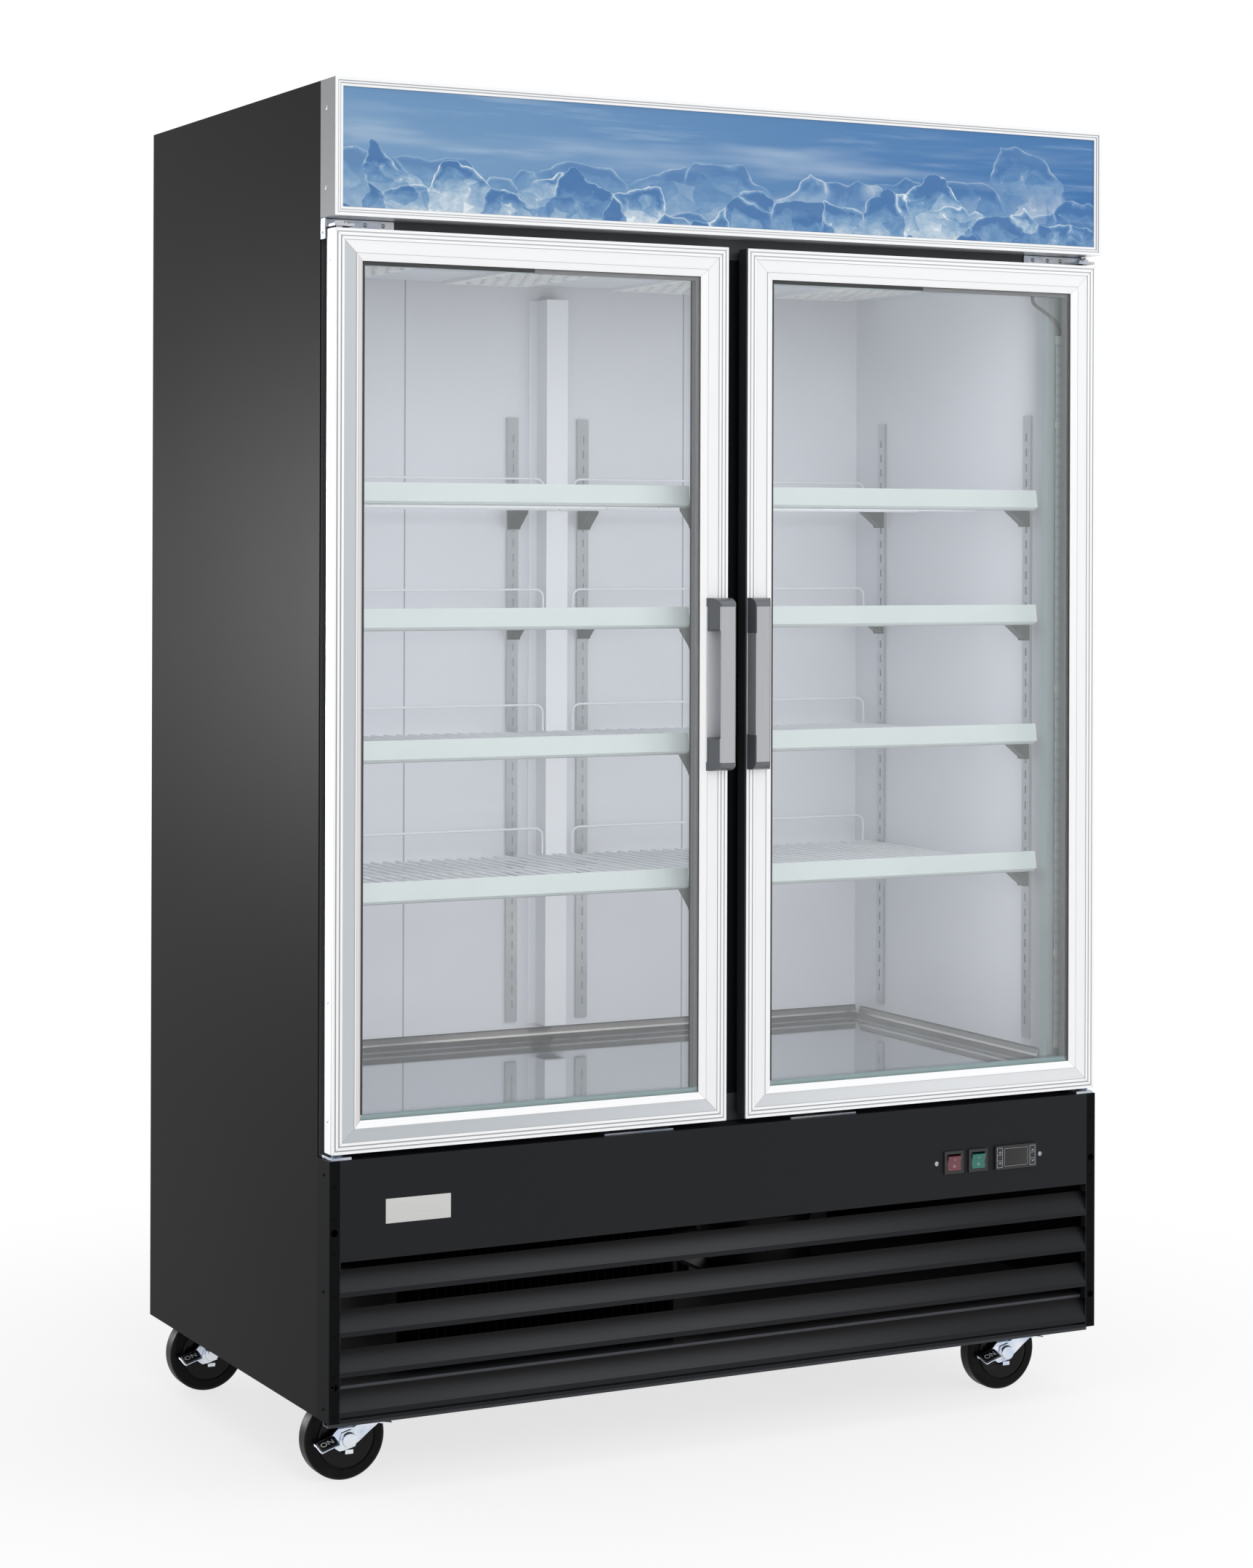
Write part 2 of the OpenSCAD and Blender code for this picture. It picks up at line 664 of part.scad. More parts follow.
module base_panel() {
    color([0.16, 0.17, 0.18]) {
        difference() {
            box(-panel_x, panel_x, 0, sheet_t, flat_z, panel_top);
            for (i = [0, 1]) translate([switch_x + i * switch_pitch, 0, control_z])
                box(-body_side / 2 - fit, body_side / 2 + fit, -1, 5,
                    -body_side / 2 - fit, body_side / 2 + fit);
            translate([stat_x, 0, control_z])
                box(-stat_cut_w / 2 - fit, stat_cut_w / 2 + fit, -1, 5,
                    -stat_cut_h / 2 - fit, stat_cut_h / 2 + fit);
        }
        // Top flange, under the hinge plates
        box(-panel_x, panel_x, 0, case_y - fit, panel_top - sheet_t, panel_top);
        box(-panel_x, panel_x, 0, louvre_d, flat_z, flat_z + sheet_t);
        for (i = [0 : louvre_n - 1]) translate([0, 0, slat_z - i * louvre_pitch])
            along_x(-panel_x, panel_x) polygon([
                [louvre_d, 0], [0, -slat_face], [0, -slat_face - slat_lip],
                [sheet_t, -slat_face - slat_lip], [sheet_t, -slat_face - 0.4],
                [louvre_d + sheet_t, -0.4]
            ]);
        box(-panel_x, panel_x, 0, sheet_t, skirt_z, skirt_z + 5);
        box(-panel_x, panel_x, 0, louvre_d + sheet_t, skirt_z, skirt_z + sheet_t);
        both_sides() box(panel_x - sheet_t, panel_x, 0, louvre_d + sheet_t, skirt_z, panel_top);
    }
}

post_holes = [276, 53];     // heights of the two round holes over the skirt

module corner_posts() {
    color([0.14, 0.15, 0.16]) both_sides() difference() {
        union() {
            box(half_w - post_w, half_w, 0, sheet_t, skirt_z, panel_top);
            box(half_w - sheet_t, half_w, 0, case_y, skirt_z, panel_top);
            box(half_w - post_w, half_w - post_w + sheet_t, 0, louvre_d, skirt_z, panel_top);
        }
        for (z = post_holes) translate([half_w - post_w / 2, -1, skirt_z + z])
            rotate([-90, 0, 0]) cylinder(r = 5.5, h = 5);
    }
}

pan_t = 2;
beam_y = 15;            // front of the front beam
beam_w = 20;
beam_drop = 9;          // how far the front beam hangs below the skirt
rear_rail_y = cabinet_d - 14;

module chassis() {
    beam_z = skirt_z - beam_drop;
    x1 = half_w - 5;
    x2 = half_w - hem - 0.5;
    pan_x = half_w - sheet_t - fit;
    color([0.2, 0.21, 0.23]) {
        box(-pan_x, pan_x, case_y + 4, cabinet_d - sheet_t - fit, caster_h, caster_h + pan_t);
        box(-x2, x2, beam_y, case_y + 4, caster_h, caster_h + pan_t);
        // Front beam, a channel open at the back
        along_x(-x1, x1) polygon([
            [beam_y, beam_z], [beam_y + beam_w, beam_z], [beam_y + beam_w, beam_z + 10],
            [beam_y + beam_w - 2.5, beam_z + 10], [beam_y + beam_w - 2.5, beam_z + 2.5],
            [beam_y + 2.5, beam_z + 2.5], [beam_y + 2.5, caster_h], [beam_y, caster_h]
        ]);
        // Rear rail
        along_x(-x1 + 10, x1 - 10) polygon([
            [rear_rail_y, skirt_z + 2], [rear_rail_y + 12, skirt_z + 2],
            [rear_rail_y + 12, skirt_z + 4], [rear_rail_y + 2, skirt_z + 4],
            [rear_rail_y + 2, caster_h], [rear_rail_y, caster_h]
        ]);
    }
}

// ---- Controls -------------------------------------------------------------------------------

rocker_pivot = 4;       // depth of the rocker's pivot behind the panel
rocker_tilt = 8;
button_x = stat_w / 2 - 8;
button_z = 8.5;
button_w = 8;
button_h = 5;
button_travel = 0.6;
stat_t = 4;

module control_housings() {
    color([0.07, 0.07, 0.08]) {
        for (i = [0, 1]) translate([switch_x + i * switch_pitch, 0, control_z]) difference() {
            union() {
                box(-bezel / 2, bezel / 2, -3, 0, -bezel / 2, bezel / 2);
                box(-body_side / 2, body_side / 2, -1, 26, -body_side / 2, body_side / 2);
            }
            box(-rocker_w / 2 - fit, rocker_w / 2 + fit, -9, 15,
                -rocker_h / 2 - 1.8, rocker_h / 2 + 1.8);
        }
        translate([stat_x, 0, control_z]) difference() {
            union() {
                box(-stat_w / 2, stat_w / 2, -stat_t, 0, -stat_h / 2, stat_h / 2);
                box(-stat_cut_w / 2, stat_cut_w / 2, -1, 62, -stat_cut_h / 2, stat_cut_h / 2);
            }
            // Display window and button pockets
            box(-21, 21, -stat_t - 1, -stat_t + 0.7, -13, 13);
            for (sx = [-1, 1], sz = [-1, 1]) translate([sx * button_x, 0, sz * button_z])
                box(-button_w / 2 - fit, button_w / 2 + fit, -stat_t - 1, -stat_t + 3,
                    -button_h / 2 - fit, button_h / 2 + fit);
        }
    }
}

module rocker(i, paint) {
    color(paint) translate([switch_x + i * switch_pitch, rocker_pivot, control_z])
        rotate([rocker_tilt, 0, 0]) along_x(-rocker_w / 2, rocker_w / 2)
            polygon([[-9.5, -rocker_h / 2], [-7, 0], [-9.5, rocker_h / 2], [5, 9], [5, -9]]);
}
module red_rocker() rocker(0, [0.75, 0.08, 0.06]);
module green_rocker() rocker(1, [0.1, 0.6, 0.22]);

module stat_button(sx, sz) {
    color([0.2, 0.2, 0.22]) translate([stat_x + sx * button_x, 0, control_z + sz * button_z])
        box(-button_w / 2, button_w / 2, -stat_t - 0.9, -stat_t + 3 - fit - button_travel,
            -button_h / 2, button_h / 2);
}
module set_button() stat_button(-1, -1);
module defrost_button() stat_button(-1, 1);
module up_button() stat_button(1, 1);
module down_button() stat_button(1, -1);

// ---- Doors ----------------------------------------------------------------------------------

lip_t = 6.2;            // front leg of the door frame, in front of the glass
bead_t = 2;             // rear bead behind the glass
glass_in = 30.4;        // the glass starts this far in from the door's edge
rib_w = 4;
rib_gap = 2;
rib_depth = 1.2;
seal_w = 10;
seal_side = 10.7;       // the gasket's place in from the door's side edges
seal_end = 2.5;         // and from its top and bottom edges

module door_profile() {
    difference() {
        polygon([
            [0, 0], [0, door_face - 11], [lip_t - 1.2, door_face], [lip_t, door_face],
            [lip_t, glass_in - 0.4], [door_t - bead_t, glass_in - 0.4],
            [door_t - bead_t, door_face - 4], [door_t, door_face - 4], [door_t, 0]
        ]);
        for (i = [0 : 1]) rect(-1, rib_depth, rib_w + i * (rib_w + rib_gap), (i + 1) * (rib_w + rib_gap));
        rect(-1, 1, 3 * rib_w + 2 * rib_gap, door_face - 11);
        rect(3, 4.5, -1, 1);
    }
}

// The right door. The left one is its mirror image.
module door_frame() {
    color([0.83, 0.84, 0.86]) difference() {
        translate([door_gap / 2, 0, door_z]) mitred_frame(door_w, door_h, door_face) door_profile();
        for (z = [door_z - 1, door_top - hinge_depth])
            translate([hinge_x, hinge_y, z]) cylinder(r = hinge_r + pin_fit, h = hinge_depth + 1);
    }
}

module door_glass() {
    x0 = door_gap / 2 + glass_in;
    x1 = door_gap / 2 + door_w - glass_in;
    z0 = door_z + glass_in;
    z1 = door_top - glass_in;
    color([0.75, 0.85, 0.87, 0.35]) {
        box(x0, x1, lip_t, lip_t + pane_t, z0, z1);
        box(x0, x1, door_t - bead_t - pane_t, door_t - bead_t, z0, z1);
    }
}

module ring_xz(x0, x1, z0, z1, w, y0, y1) {
    along_y(y0, y1) difference() {
        rect(x0, x1, z0, z1);
        rect(x0 + w, x1 - w, z0 + w, z1 - w);
    }
}

// Magnetic gasket on the back of the door, and the dark spacer between the panes
module door_seal() {
    x0 = door_gap / 2;
    x1 = door_gap / 2 + door_w;
    spacer_w = door_face - glass_in + 6;
    color([0.09, 0.09, 0.1]) {
        ring_xz(x0 + seal_side, x1 - seal_side, door_z + seal_end, door_top - seal_end,
            seal_w, door_t, case_y - 0.4);
        ring_xz(x0 + glass_in, x1 - glass_in, door_z + glass_in, door_top - glass_in,
            spacer_w, lip_t + pane_t, door_t - bead_t - pane_t);
    }
}

// (x, y) outline of the grip: foot on the door, web at its meeting edge and bar in front
module grip_outline() {
    polygon([
        [0, 0], [0, -grip_proud + 3], [3, -grip_proud], [grip_w - 3, -grip_proud],
        [grip_w, -grip_proud + 3], [grip_w, -grip_proud + 4.5], [6, -grip_proud + 4],
        [4.5, -grip_proud + 6], [4, -9], [6, -4.5], [11, -2.5],
        [grip_foot, -2.5], [grip_foot, 0]
    ]);
}
module cap_outline() {
    polygon([
        [0, 0], [0, -grip_proud + 3], [3, -grip_proud], [grip_w - 3, -grip_proud],
        [grip_w, -grip_proud + 3], [grip_foot - 1, -8], [grip_foot, 0]
    ]);
}

// Side view (y, z) of an end cap: rounded at the top, arched over the finger gap
module cap_side() {
    r = cap_rise + 6;
    difference() {
        union() {
            rect(-grip_proud, 0, -cap_len + cap_rise, 0);
            translate([-grip_proud + r, cap_rise - r]) intersection() {
                circle(r);
                rect(-r, 0, 0, r);
            }
            rect(-grip_proud + r, 0, 0, cap_rise);
        }
        translate([-grip_proud / 2, -cap_len + cap_rise - 17]) circle(22);
    }
}

module grip_cap() {
    difference() {
        intersection() {
            along_z(-cap_len, cap_rise + 1) cap_outline();
            along_x(-1, grip_foot + 1) cap_side();
        }
        along_z(-cap_len - 1, 0) grip_outline();
    }
}

module door_handle() {
    top = grip_mid + grip_len / 2;
    bottom = grip_mid - grip_len / 2;
    translate([door_gap / 2 + 0.5, 0, 0]) {
        color([0.62, 0.63, 0.65]) along_z(bottom, top) grip_outline();
        color([0.3, 0.31, 0.34]) {
            translate([0, 0, top]) grip_cap();
            translate([0, 0, bottom]) mirror([0, 0, 1]) grip_cap();
        }
    }
}

module left_door_frame() flip_x() door_frame();
module left_door_glass() flip_x() door_glass();
module left_door_seal() flip_x() door_seal();
module left_door_handle() flip_x() door_handle();

// ---- Hinges ---------------------------------------------------------------------------------

plate_t = 4;
hinge_gap = 3;      // from the door's top to the upper plate

module hinge_brackets() {
    x0 = hinge_x - 18;
    x1 = half_w - door_inset - 1;
    ear = half_w - door_inset + 0.6;
    upper_z = door_top + hinge_gap;
    color([0.75, 0.76, 0.78]) both_sides() {
        // Upper bracket: tab over the door, flange on the frame and ear at the side
        box(x0, x1, 2, case_y, upper_z, upper_z + plate_t);
        box(x0 - 80, x1, case_y - 3, case_y, upper_z, header_z - 1);
        box(ear, half_w - fit, door_t + 2, case_y, door_top - 14, header_z - 1);
        box(x1 - 1, half_w - fit, door_t + 2, case_y, upper_z, upper_z + plate_t);
        translate([hinge_x, hinge_y, door_top - hinge_depth + 4])
            cylinder(r = hinge_r, h = hinge_depth + hinge_gap);
        translate([hinge_x, hinge_y, upper_z + plate_t - 0.1]) cylinder(r = 8, h = 4, $fn = 6);
        // Lower bracket on the base, with its bush and pin
        box(x0, x1, 2, case_y, deck_z, deck_z + plate_t);
        translate([hinge_x, hinge_y, deck_z + plate_t - 0.1])
            cylinder(r1 = 8, r2 = 11, h = door_under - plate_t - fit + 0.1);
        translate([hinge_x, hinge_y, deck_z + plate_t])
            cylinder(r = hinge_r, h = door_under - plate_t + hinge_depth - 4);
        // Door stay plate near the meeting side
        box(104, 222, 10, case_y, deck_z, deck_z + 2.5);
    }
}

// ---- Refrigeration in the base ---------------------------------------------------------------

comp_x = 260;
comp_y = 400;
comp_r = 95;
comp_z = caster_h + pan_t + 22;
cond_x = -300;
cond_half = 210;
cond_y = 45;
cond_d = 70;
cond_h = 270;
cond_fan_r = 120;
cond_fan_y = cond_y + cond_d + 40;
cond_mid_z = caster_h + pan_t + 24 + cond_h / 2;

module compressor() {
    color([0.08, 0.08, 0.09]) translate([comp_x, comp_y, comp_z]) {
        rotate_extrude() union() {
            rect(0, comp_r, 14, 150);
            rect(0, comp_r - 24, 0, 174);
            intersection() {
                union() {
                    translate([comp_r - 24, 150]) circle(24);
                    translate([comp_r - 24, 24]) circle(24);
                    rect(0, comp_r - 24, 0, 174);
                }
                rect(0, comp_r, 0, 174);
            }
            rect(0, comp_r + 4, 78, 88);
        }
        // Feet on rubber grommets
        translate([0, 0, -6]) difference() {
            box(-110, 110, -80, 80, 0, 6);
            for (sx = [-1, 1], sy = [-1, 1]) translate([sx * 98, sy * 68, -1]) cylinder(r = 5, h = 8);
        }
        for (sx = [-1, 1], sy = [-1, 1]) translate([sx * 98, sy * 68, -22]) cylinder(r = 11, h = 16);
        // Terminal cover
        box(comp_r - 12, comp_r + 30, -32, 32, 40, 100);
    }
    // Suction and discharge pipes, up to the insulated floor
    color([0.72, 0.42, 0.25]) for (s = [-1, 1])
        translate([comp_x + s * 40, comp_y + 60, comp_z + 140]) cylinder(r = 5, h = deck_z - comp_z - 140);
}

module condenser() {
    z0 = caster_h + pan_t;
    z1 = cond_mid_z + cond_h / 2;
    color([0.2, 0.21, 0.22]) {
        translate([cond_x, 0, 0]) {
            fin_comb(cond_half, cond_y, cond_d, 30, z0 + 24, z1);
            // End plates that stand on the pan
            both_sides() box(cond_half + 1, cond_half + 4, cond_y - 4, cond_y + cond_d + 4, z0, z1 + 4);
            // Shroud with the fan's round opening
            difference() {
                box(-cond_half - 4, cond_half + 4, cond_y + cond_d + 4, cond_y + cond_d + 6, z0, z1 + 4);
                translate([0, cond_y, cond_mid_z]) rotate([-90, 0, 0])
                    cylinder(r = cond_fan_r + 6, h = cond_d * 2);
            }
        }
        // Motor on its strut
        translate([cond_x, cond_fan_y + 16, cond_mid_z]) {
            rotate([-90, 0, 0]) cylinder(r = 42, h = 60);
            rotate([90, 0, 0]) cylinder(r = 4, h = 30);
            box(-16, 16, 20, 44, z0 - cond_mid_z, -38);
        }
    }
}

module condenser_fan() {
    color([0.12, 0.12, 0.13]) translate([cond_x, cond_fan_y, cond_mid_z])
        axial_fan(cond_fan_r, 5, 26, 4);
}

// ---- Casters ----------------------------------------------------------------------------------

FRONT_LEFT = [-caster_x, caster_front_y];
FRONT_RIGHT = [caster_x, caster_front_y];
REAR_LEFT = [-caster_x, caster_rear_y];
REAR_RIGHT = [caster_x, caster_rear_y];

axle_z = wheel_d / 2;
top_plate_t = 3.5;
plate_x = 50;
plate_y = 40;
cup_h = 7;
leg_t = 3;
leg_y = wheel_w / 2 + 2.5;      // inner face of a fork leg, from the wheel's mid plane
crown_z = caster_h - top_plate_t - cup_h - fit;
crown_t = 8;
kingpin_r = 6;

// Top plates bolted under the pan, each with its bearing cup and kingpin
module caster_plates() {
    color([0.76, 0.78, 0.8]) for (place = [FRONT_LEFT, FRONT_RIGHT, REAR_LEFT, REAR_RIGHT])
        translate([place[0], place[1], 0]) {
            difference() {
                box(-plate_x, plate_x, -plate_y, plate_y, caster_h - top_plate_t, caster_h);
                for (sx = [-1, 1], sy = [-1, 1])
                    translate([sx * (plate_x - 10), sy * (plate_y - 10), 0]) cylinder(r = 4.5, h = big);
            }
            translate([0, 0, caster_h - top_plate_t - cup_h]) cylinder(r1 = 29, r2 = 33, h = cup_h);
            translate([0, 0, crown_z - crown_t - 7])
                cylinder(r = kingpin_r, h = caster_h - crown_z + crown_t + 6);
            translate([0, 0, crown_z - crown_t - 7]) cylinder(r = 10, h = 6.7, $fn = 6);
        }
}

// (x, z) outline of a fork leg, raked back to the axle
module leg_outline() {
    top = crown_z - 4;
    polygon([[-38, top], [34, top], [34, top - 10], [-trail + 15, axle_z + 4],
             [-trail + 14, axle_z - 6], [-trail - 14, axle_z - 6],
             [-trail - 15, axle_z + 4], [-38, top - 10]]);
    translate([-trail, axle_z]) circle(15);
}

module fork(place) {
    color([0.78, 0.8, 0.82]) translate([place[0], place[1], 0]) {
        // Crown with its ball race
        difference() {
            translate([0, 0, crown_z - crown_t]) union() {
                cylinder(r = 35, h = crown_t - 3);
                cylinder(r = 27, h = crown_t);
            }
            translate([0, 0, crown_z - 2 * crown_t]) cylinder(r = kingpin_r + pin_fit, h = 3 * crown_t);
        }
        for (s = [-1, 1]) along_y(s * (leg_y + leg_t / 2) - leg_t / 2, s * (leg_y + leg_t / 2) + leg_t / 2)
            leg_outline();
        // Axle bolt with its head in front of the brake lever
        translate([-trail, 0, axle_z]) rotate([90, 0, 0]) {
            translate([0, 0, -leg_y - leg_t - 8]) cylinder(r = axle_r, h = 2 * (leg_y + leg_t + 8));
            translate([0, 0, leg_y + leg_t + 4]) cylinder(r = 11, h = 1.5);
            translate([0, 0, leg_y + leg_t + 5.4]) cylinder(r = 9.5, h = 7, $fn = 6);
            translate([0, 0, -leg_y - leg_t - 8]) cylinder(r = 9, h = 8, $fn = 6);
        }
    }
}

module wheel(place) {
    hub_w = 2 * leg_y - 1;
    r = wheel_d / 2;
    half = wheel_w / 2;
    edge = 7;
    color([0.07, 0.07, 0.08]) translate([place[0] - trail, place[1], axle_z]) rotate([90, 0, 0])
        rotate_extrude($fn = 96) difference() {
            union() {
                rect(0, r - edge, -half, half);
                rect(0, r, -half + edge, half - edge);
                for (s = [-1, 1]) translate([r - edge, s * (half - edge)]) circle(edge);
                rect(0, 14, -hub_w / 2, hub_w / 2);
            }
            rect(-1, axle_r + pin_fit, -half * 2, half * 2);
            // Dished web and the ring groove inside the tread
            for (s = [-1, 1]) {
                translate([0, s * half]) polygon([[18, -s * 7], [36, -s * 3], [36, s * 3], [18, s * 3]]);
                translate([0, s * half]) rect(44, 47, -1.5, 1.5);
            }
        }
}

pad_l = 34;
pad_w = 24;

// Rocking brake lever on the axle, pedal pads turned out to the front
module brake(place) {
    y0 = -leg_y - leg_t - 3.6;
    color([0.80, 0.82, 0.84]) translate([place[0] - trail, place[1], axle_z]) {
        difference() {
            union() {
                along_y(y0, y0 + 3) polygon([
                    [-54, -1], [-53, -5], [-36, -11], [-28, -6], [-19, -13], [-13, -17], [2, -14],
                    [17, -6], [35, 8], [48, 17], [50, 24], [26, 28], [10, 17], [-16, 17],
                    [-24, 9], [-36, 2]
                ]);
                // Left pad, pressed down when the brake is on
                translate([-39, y0 + 1, 3]) rotate([0, -17, 0])
                    box(-pad_l / 2, pad_l / 2, -pad_w, 0, -1.5, 1.5);
                // Right pad
                translate([45, y0 + 1, 24]) rotate([0, 8, 0])
                    box(-pad_l / 2 - 2, pad_l / 2 + 2, -pad_w, 0, -1.5, 1.5);
            }
            rotate([90, 0, 0]) cylinder(r = axle_r + pin_fit, h = big, center = true);
        }
    }
}

// ---- All nodes ----------------------------------------------------------------------------------

set_in() left_side_panel();
set_in() right_side_panel();
set_in() top_panel();
set_in() back_panel();
set_in() foam_body();
set_in() inner_liner();
set_in() front_frame();
set_in() centre_mullion();
set_in() floor_panel();
set_in() evaporator_cover();
set_in() ceiling_grilles();
set_in() evaporator();
set_in() evaporator_fan();
set_in() rear_duct();
set_in() pilasters();
set_in() shelf_clips();
set_in() shelves_bottom();
set_in() shelves_second();
set_in() shelves_third();
set_in() shelves_top();
set_in() price_strips();
set_in() led_tubes();
set_in() led_fittings();
set_in() header_frame();
set_in() header_sign();
set_in() base_panel();
set_in() corner_posts();
set_in() chassis();
set_in() control_housings();
set_in() red_rocker();
set_in() green_rocker();
set_in() set_button();
set_in() defrost_button();
set_in() up_button();
set_in() down_button();
set_in() hinge_brackets();
set_in() compressor();
set_in() condenser();
set_in() condenser_fan();
set_in() caster_plates();
set_in() left_door_frame();
set_in() left_door_glass();
set_in() left_door_seal();
set_in() left_door_handle();
set_in() door_frame();  // right_door_frame
set_in() door_glass();  // right_door_glass
set_in() door_seal();  // right_door_seal
set_in() door_handle();  // right_door_handle
set_in() fork(FRONT_LEFT);  // fork_front_left
set_in() fork(FRONT_RIGHT);  // fork_front_right
set_in() fork(REAR_LEFT);  // fork_rear_left
set_in() fork(REAR_RIGHT);  // fork_rear_right
set_in() wheel(FRONT_LEFT);  // wheel_front_left
set_in() wheel(FRONT_RIGHT);  // wheel_front_right
set_in() wheel(REAR_LEFT);  // wheel_rear_left
set_in() wheel(REAR_RIGHT);  // wheel_rear_right
set_in() brake(FRONT_LEFT);  // brake_front_left
set_in() brake(FRONT_RIGHT);  // brake_front_right
set_in() brake(REAR_LEFT);  // brake_rear_left
set_in() brake(REAR_RIGHT);  // brake_rear_right
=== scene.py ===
import math

import bmesh
import bpy
from mathutils import Matrix, Vector
from mathutils.bvhtree import BVHTree


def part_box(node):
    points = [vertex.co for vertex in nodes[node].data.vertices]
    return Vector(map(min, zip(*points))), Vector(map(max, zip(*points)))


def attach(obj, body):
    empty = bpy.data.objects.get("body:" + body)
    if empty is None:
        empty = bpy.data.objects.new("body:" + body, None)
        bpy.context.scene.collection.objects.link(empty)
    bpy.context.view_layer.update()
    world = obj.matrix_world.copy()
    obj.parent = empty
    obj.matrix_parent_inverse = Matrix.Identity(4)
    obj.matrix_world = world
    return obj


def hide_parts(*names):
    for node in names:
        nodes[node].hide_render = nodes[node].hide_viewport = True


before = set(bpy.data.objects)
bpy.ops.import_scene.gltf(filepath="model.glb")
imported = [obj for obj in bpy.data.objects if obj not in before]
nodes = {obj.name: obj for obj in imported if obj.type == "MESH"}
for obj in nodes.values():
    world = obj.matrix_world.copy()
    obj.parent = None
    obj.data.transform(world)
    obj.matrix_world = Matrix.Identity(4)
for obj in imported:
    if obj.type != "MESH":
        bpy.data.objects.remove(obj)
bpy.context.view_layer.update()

# One millimetre in metres, and sizes in millimetres that several pieces share: from the door
# face back to the row frame's middle, the switches' height, each kingpin's (x, y), and how
# far an axle stands from its kingpin and above the floor
MM = 0.001
DOOR_FACE = 370.5
CONTROL_HEIGHT = 402
CASTERS = {"front_left": (-582, 111), "front_right": (582, 111),
           "rear_left": (-582, 690), "rear_right": (582, 690)}
TRAIL, AXLE = 25, 63.5

# Places in metres, where a finish changes over a piece
LOUVRE_TOP, LOUVRE_PITCH, LOUVRE_FOOT = 0.332, 0.058, 0.1275
OUTER_STILE, DOOR_MIDDLE, MEETING_EDGE = 0.6205, 0.343, 0.0174
HANDLE_HEIGHT, HANDLE_MIDDLE = 1.171, 0.0175


def row(x, y, z):
    """A point in the row frame from millimetres, with y measured back from the door face."""
    return Vector((x, y - DOOR_FACE, z)) * MM


def y_at(back):
    """The row frame's y at so many millimetres behind the door face."""
    return row(0, back, 0).y


def as_object(name, data):
    piece = bpy.data.objects.new(name, data)
    bpy.context.scene.collection.objects.link(piece)
    return piece


# ---- Camera and light ------------------------------------------------------------------

def set_camera():
    """The camera fitted to the cabinet's corners; its shift keeps the uprights upright."""
    eye = bpy.data.cameras.new("Camera")
    eye.sensor_width = 36
    eye.lens = 75.43
    eye.shift_x = 0.0002
    eye.shift_y = -0.1514
    eye.clip_end = 60
    holder = as_object("Camera", eye)
    holder.location = (-2.4907, -4.7682, 1.3813)
    holder.rotation_euler = (math.pi / 2, -0.0031, -0.4814)
    bpy.context.scene.camera = holder


def softbox(name, place, aim, size, power, shine=True, fill=True):
    """A rectangular lamp; shine lets it show in gloss, and fill lets it light matt surfaces."""
    lamp = bpy.data.lights.new(name, "AREA")
    lamp.shape = "RECTANGLE"
    lamp.size, lamp.size_y = size
    lamp.energy = power
    holder = as_object(name, lamp)
    holder.location = place
    holder.rotation_euler = (Vector(aim) - Vector(place)).to_track_quat("-Z", "Y").to_euler()
    holder.visible_camera = False
    holder.visible_glossy, holder.visible_diffuse = shine, fill


# ---- Node graphs -----------------------------------------------------------------------

class Socket:
    """An output that can stand in an expression: each operator adds its Math node."""

    def __init__(self, graph, out):
        self.graph, self.out = graph, out

    def math(self, operation, *values):
        return self.graph.node("ShaderNodeMath", {"operation": operation}, *values)

    def __add__(self, other):
        return self.math("ADD", self, other)

    def __sub__(self, other):
        return self.math("SUBTRACT", self, other)

    def __mul__(self, other):
        return self.math("MULTIPLY", self, other)

    def __truediv__(self, other):
        return self.math("DIVIDE", self, other)

    def __radd__(self, other):
        return self.math("ADD", other, self)

    def __rsub__(self, other):
        return self.math("SUBTRACT", other, self)

    def __rmul__(self, other):
        return self.math("MULTIPLY", other, self)

    def __rtruediv__(self, other):
        return self.math("DIVIDE", other, self)

    def __pow__(self, other):
        return self.math("POWER", self, other)

    def __lt__(self, other):
        return self.math("LESS_THAN", self, other)

    def __gt__(self, other):
        return self.math("GREATER_THAN", self, other)

    def __abs__(self):
        return self.math("ABSOLUTE", self)

    def least(self, other):
        return self.math("MINIMUM", self, other)

    def most(self, other):
        return self.math("MAXIMUM", self, other)

    def wave(self):
        return self.math("SINE", self)

    def fract(self):
        return self.math("FRACT", self)

    def ease(self, low, high, to_low=0.0, to_high=1.0):
        """Eased from to_low at low to to_high at high, and held beyond them."""
        return self.graph.node(
            "ShaderNodeMapRange", {"interpolation_type": "SMOOTHSTEP"},
            self, low, high, to_low, to_high)

    def near(self, middle, full, none):
        """1 out to full on both sides of middle, eased to 0 at none."""
        return abs(self - middle).ease(full, none, 1.0, 0.0)

    def within(self, low, high):
        return (self > low) * (self < high)


class Graph:
    """A node tree that is written as calls."""

    def __init__(self, tree):
        self.tree = tree

    def feed(self, socket, value):
        if isinstance(value, Socket):
            self.tree.links.new(value.out, socket)
        elif value is not None:
            if socket.type == "RGBA" and len(value) == 3:
                value = (*value, 1)
            socket.default_value = value

    def node(self, kind, settings=None, *values, out=0, **sockets):
        made = self.tree.nodes.new(kind)
        for name, value in (settings or {}).items():
            if name == "stops":
                ramp = made.color_ramp.elements
                while len(ramp) < len(value):
                    ramp.new(0.5)
                for stop, (place, tint) in zip(ramp, value):
                    stop.position, stop.color = place, (*tint, 1)
            else:
                setattr(made, name, value)
        for key, value in [*enumerate(values), *sockets.items()]:
            self.feed(made.inputs[key if isinstance(key, int) else key.replace("_", " ")], value)
        return None if out is None else Socket(self, made.outputs[out])


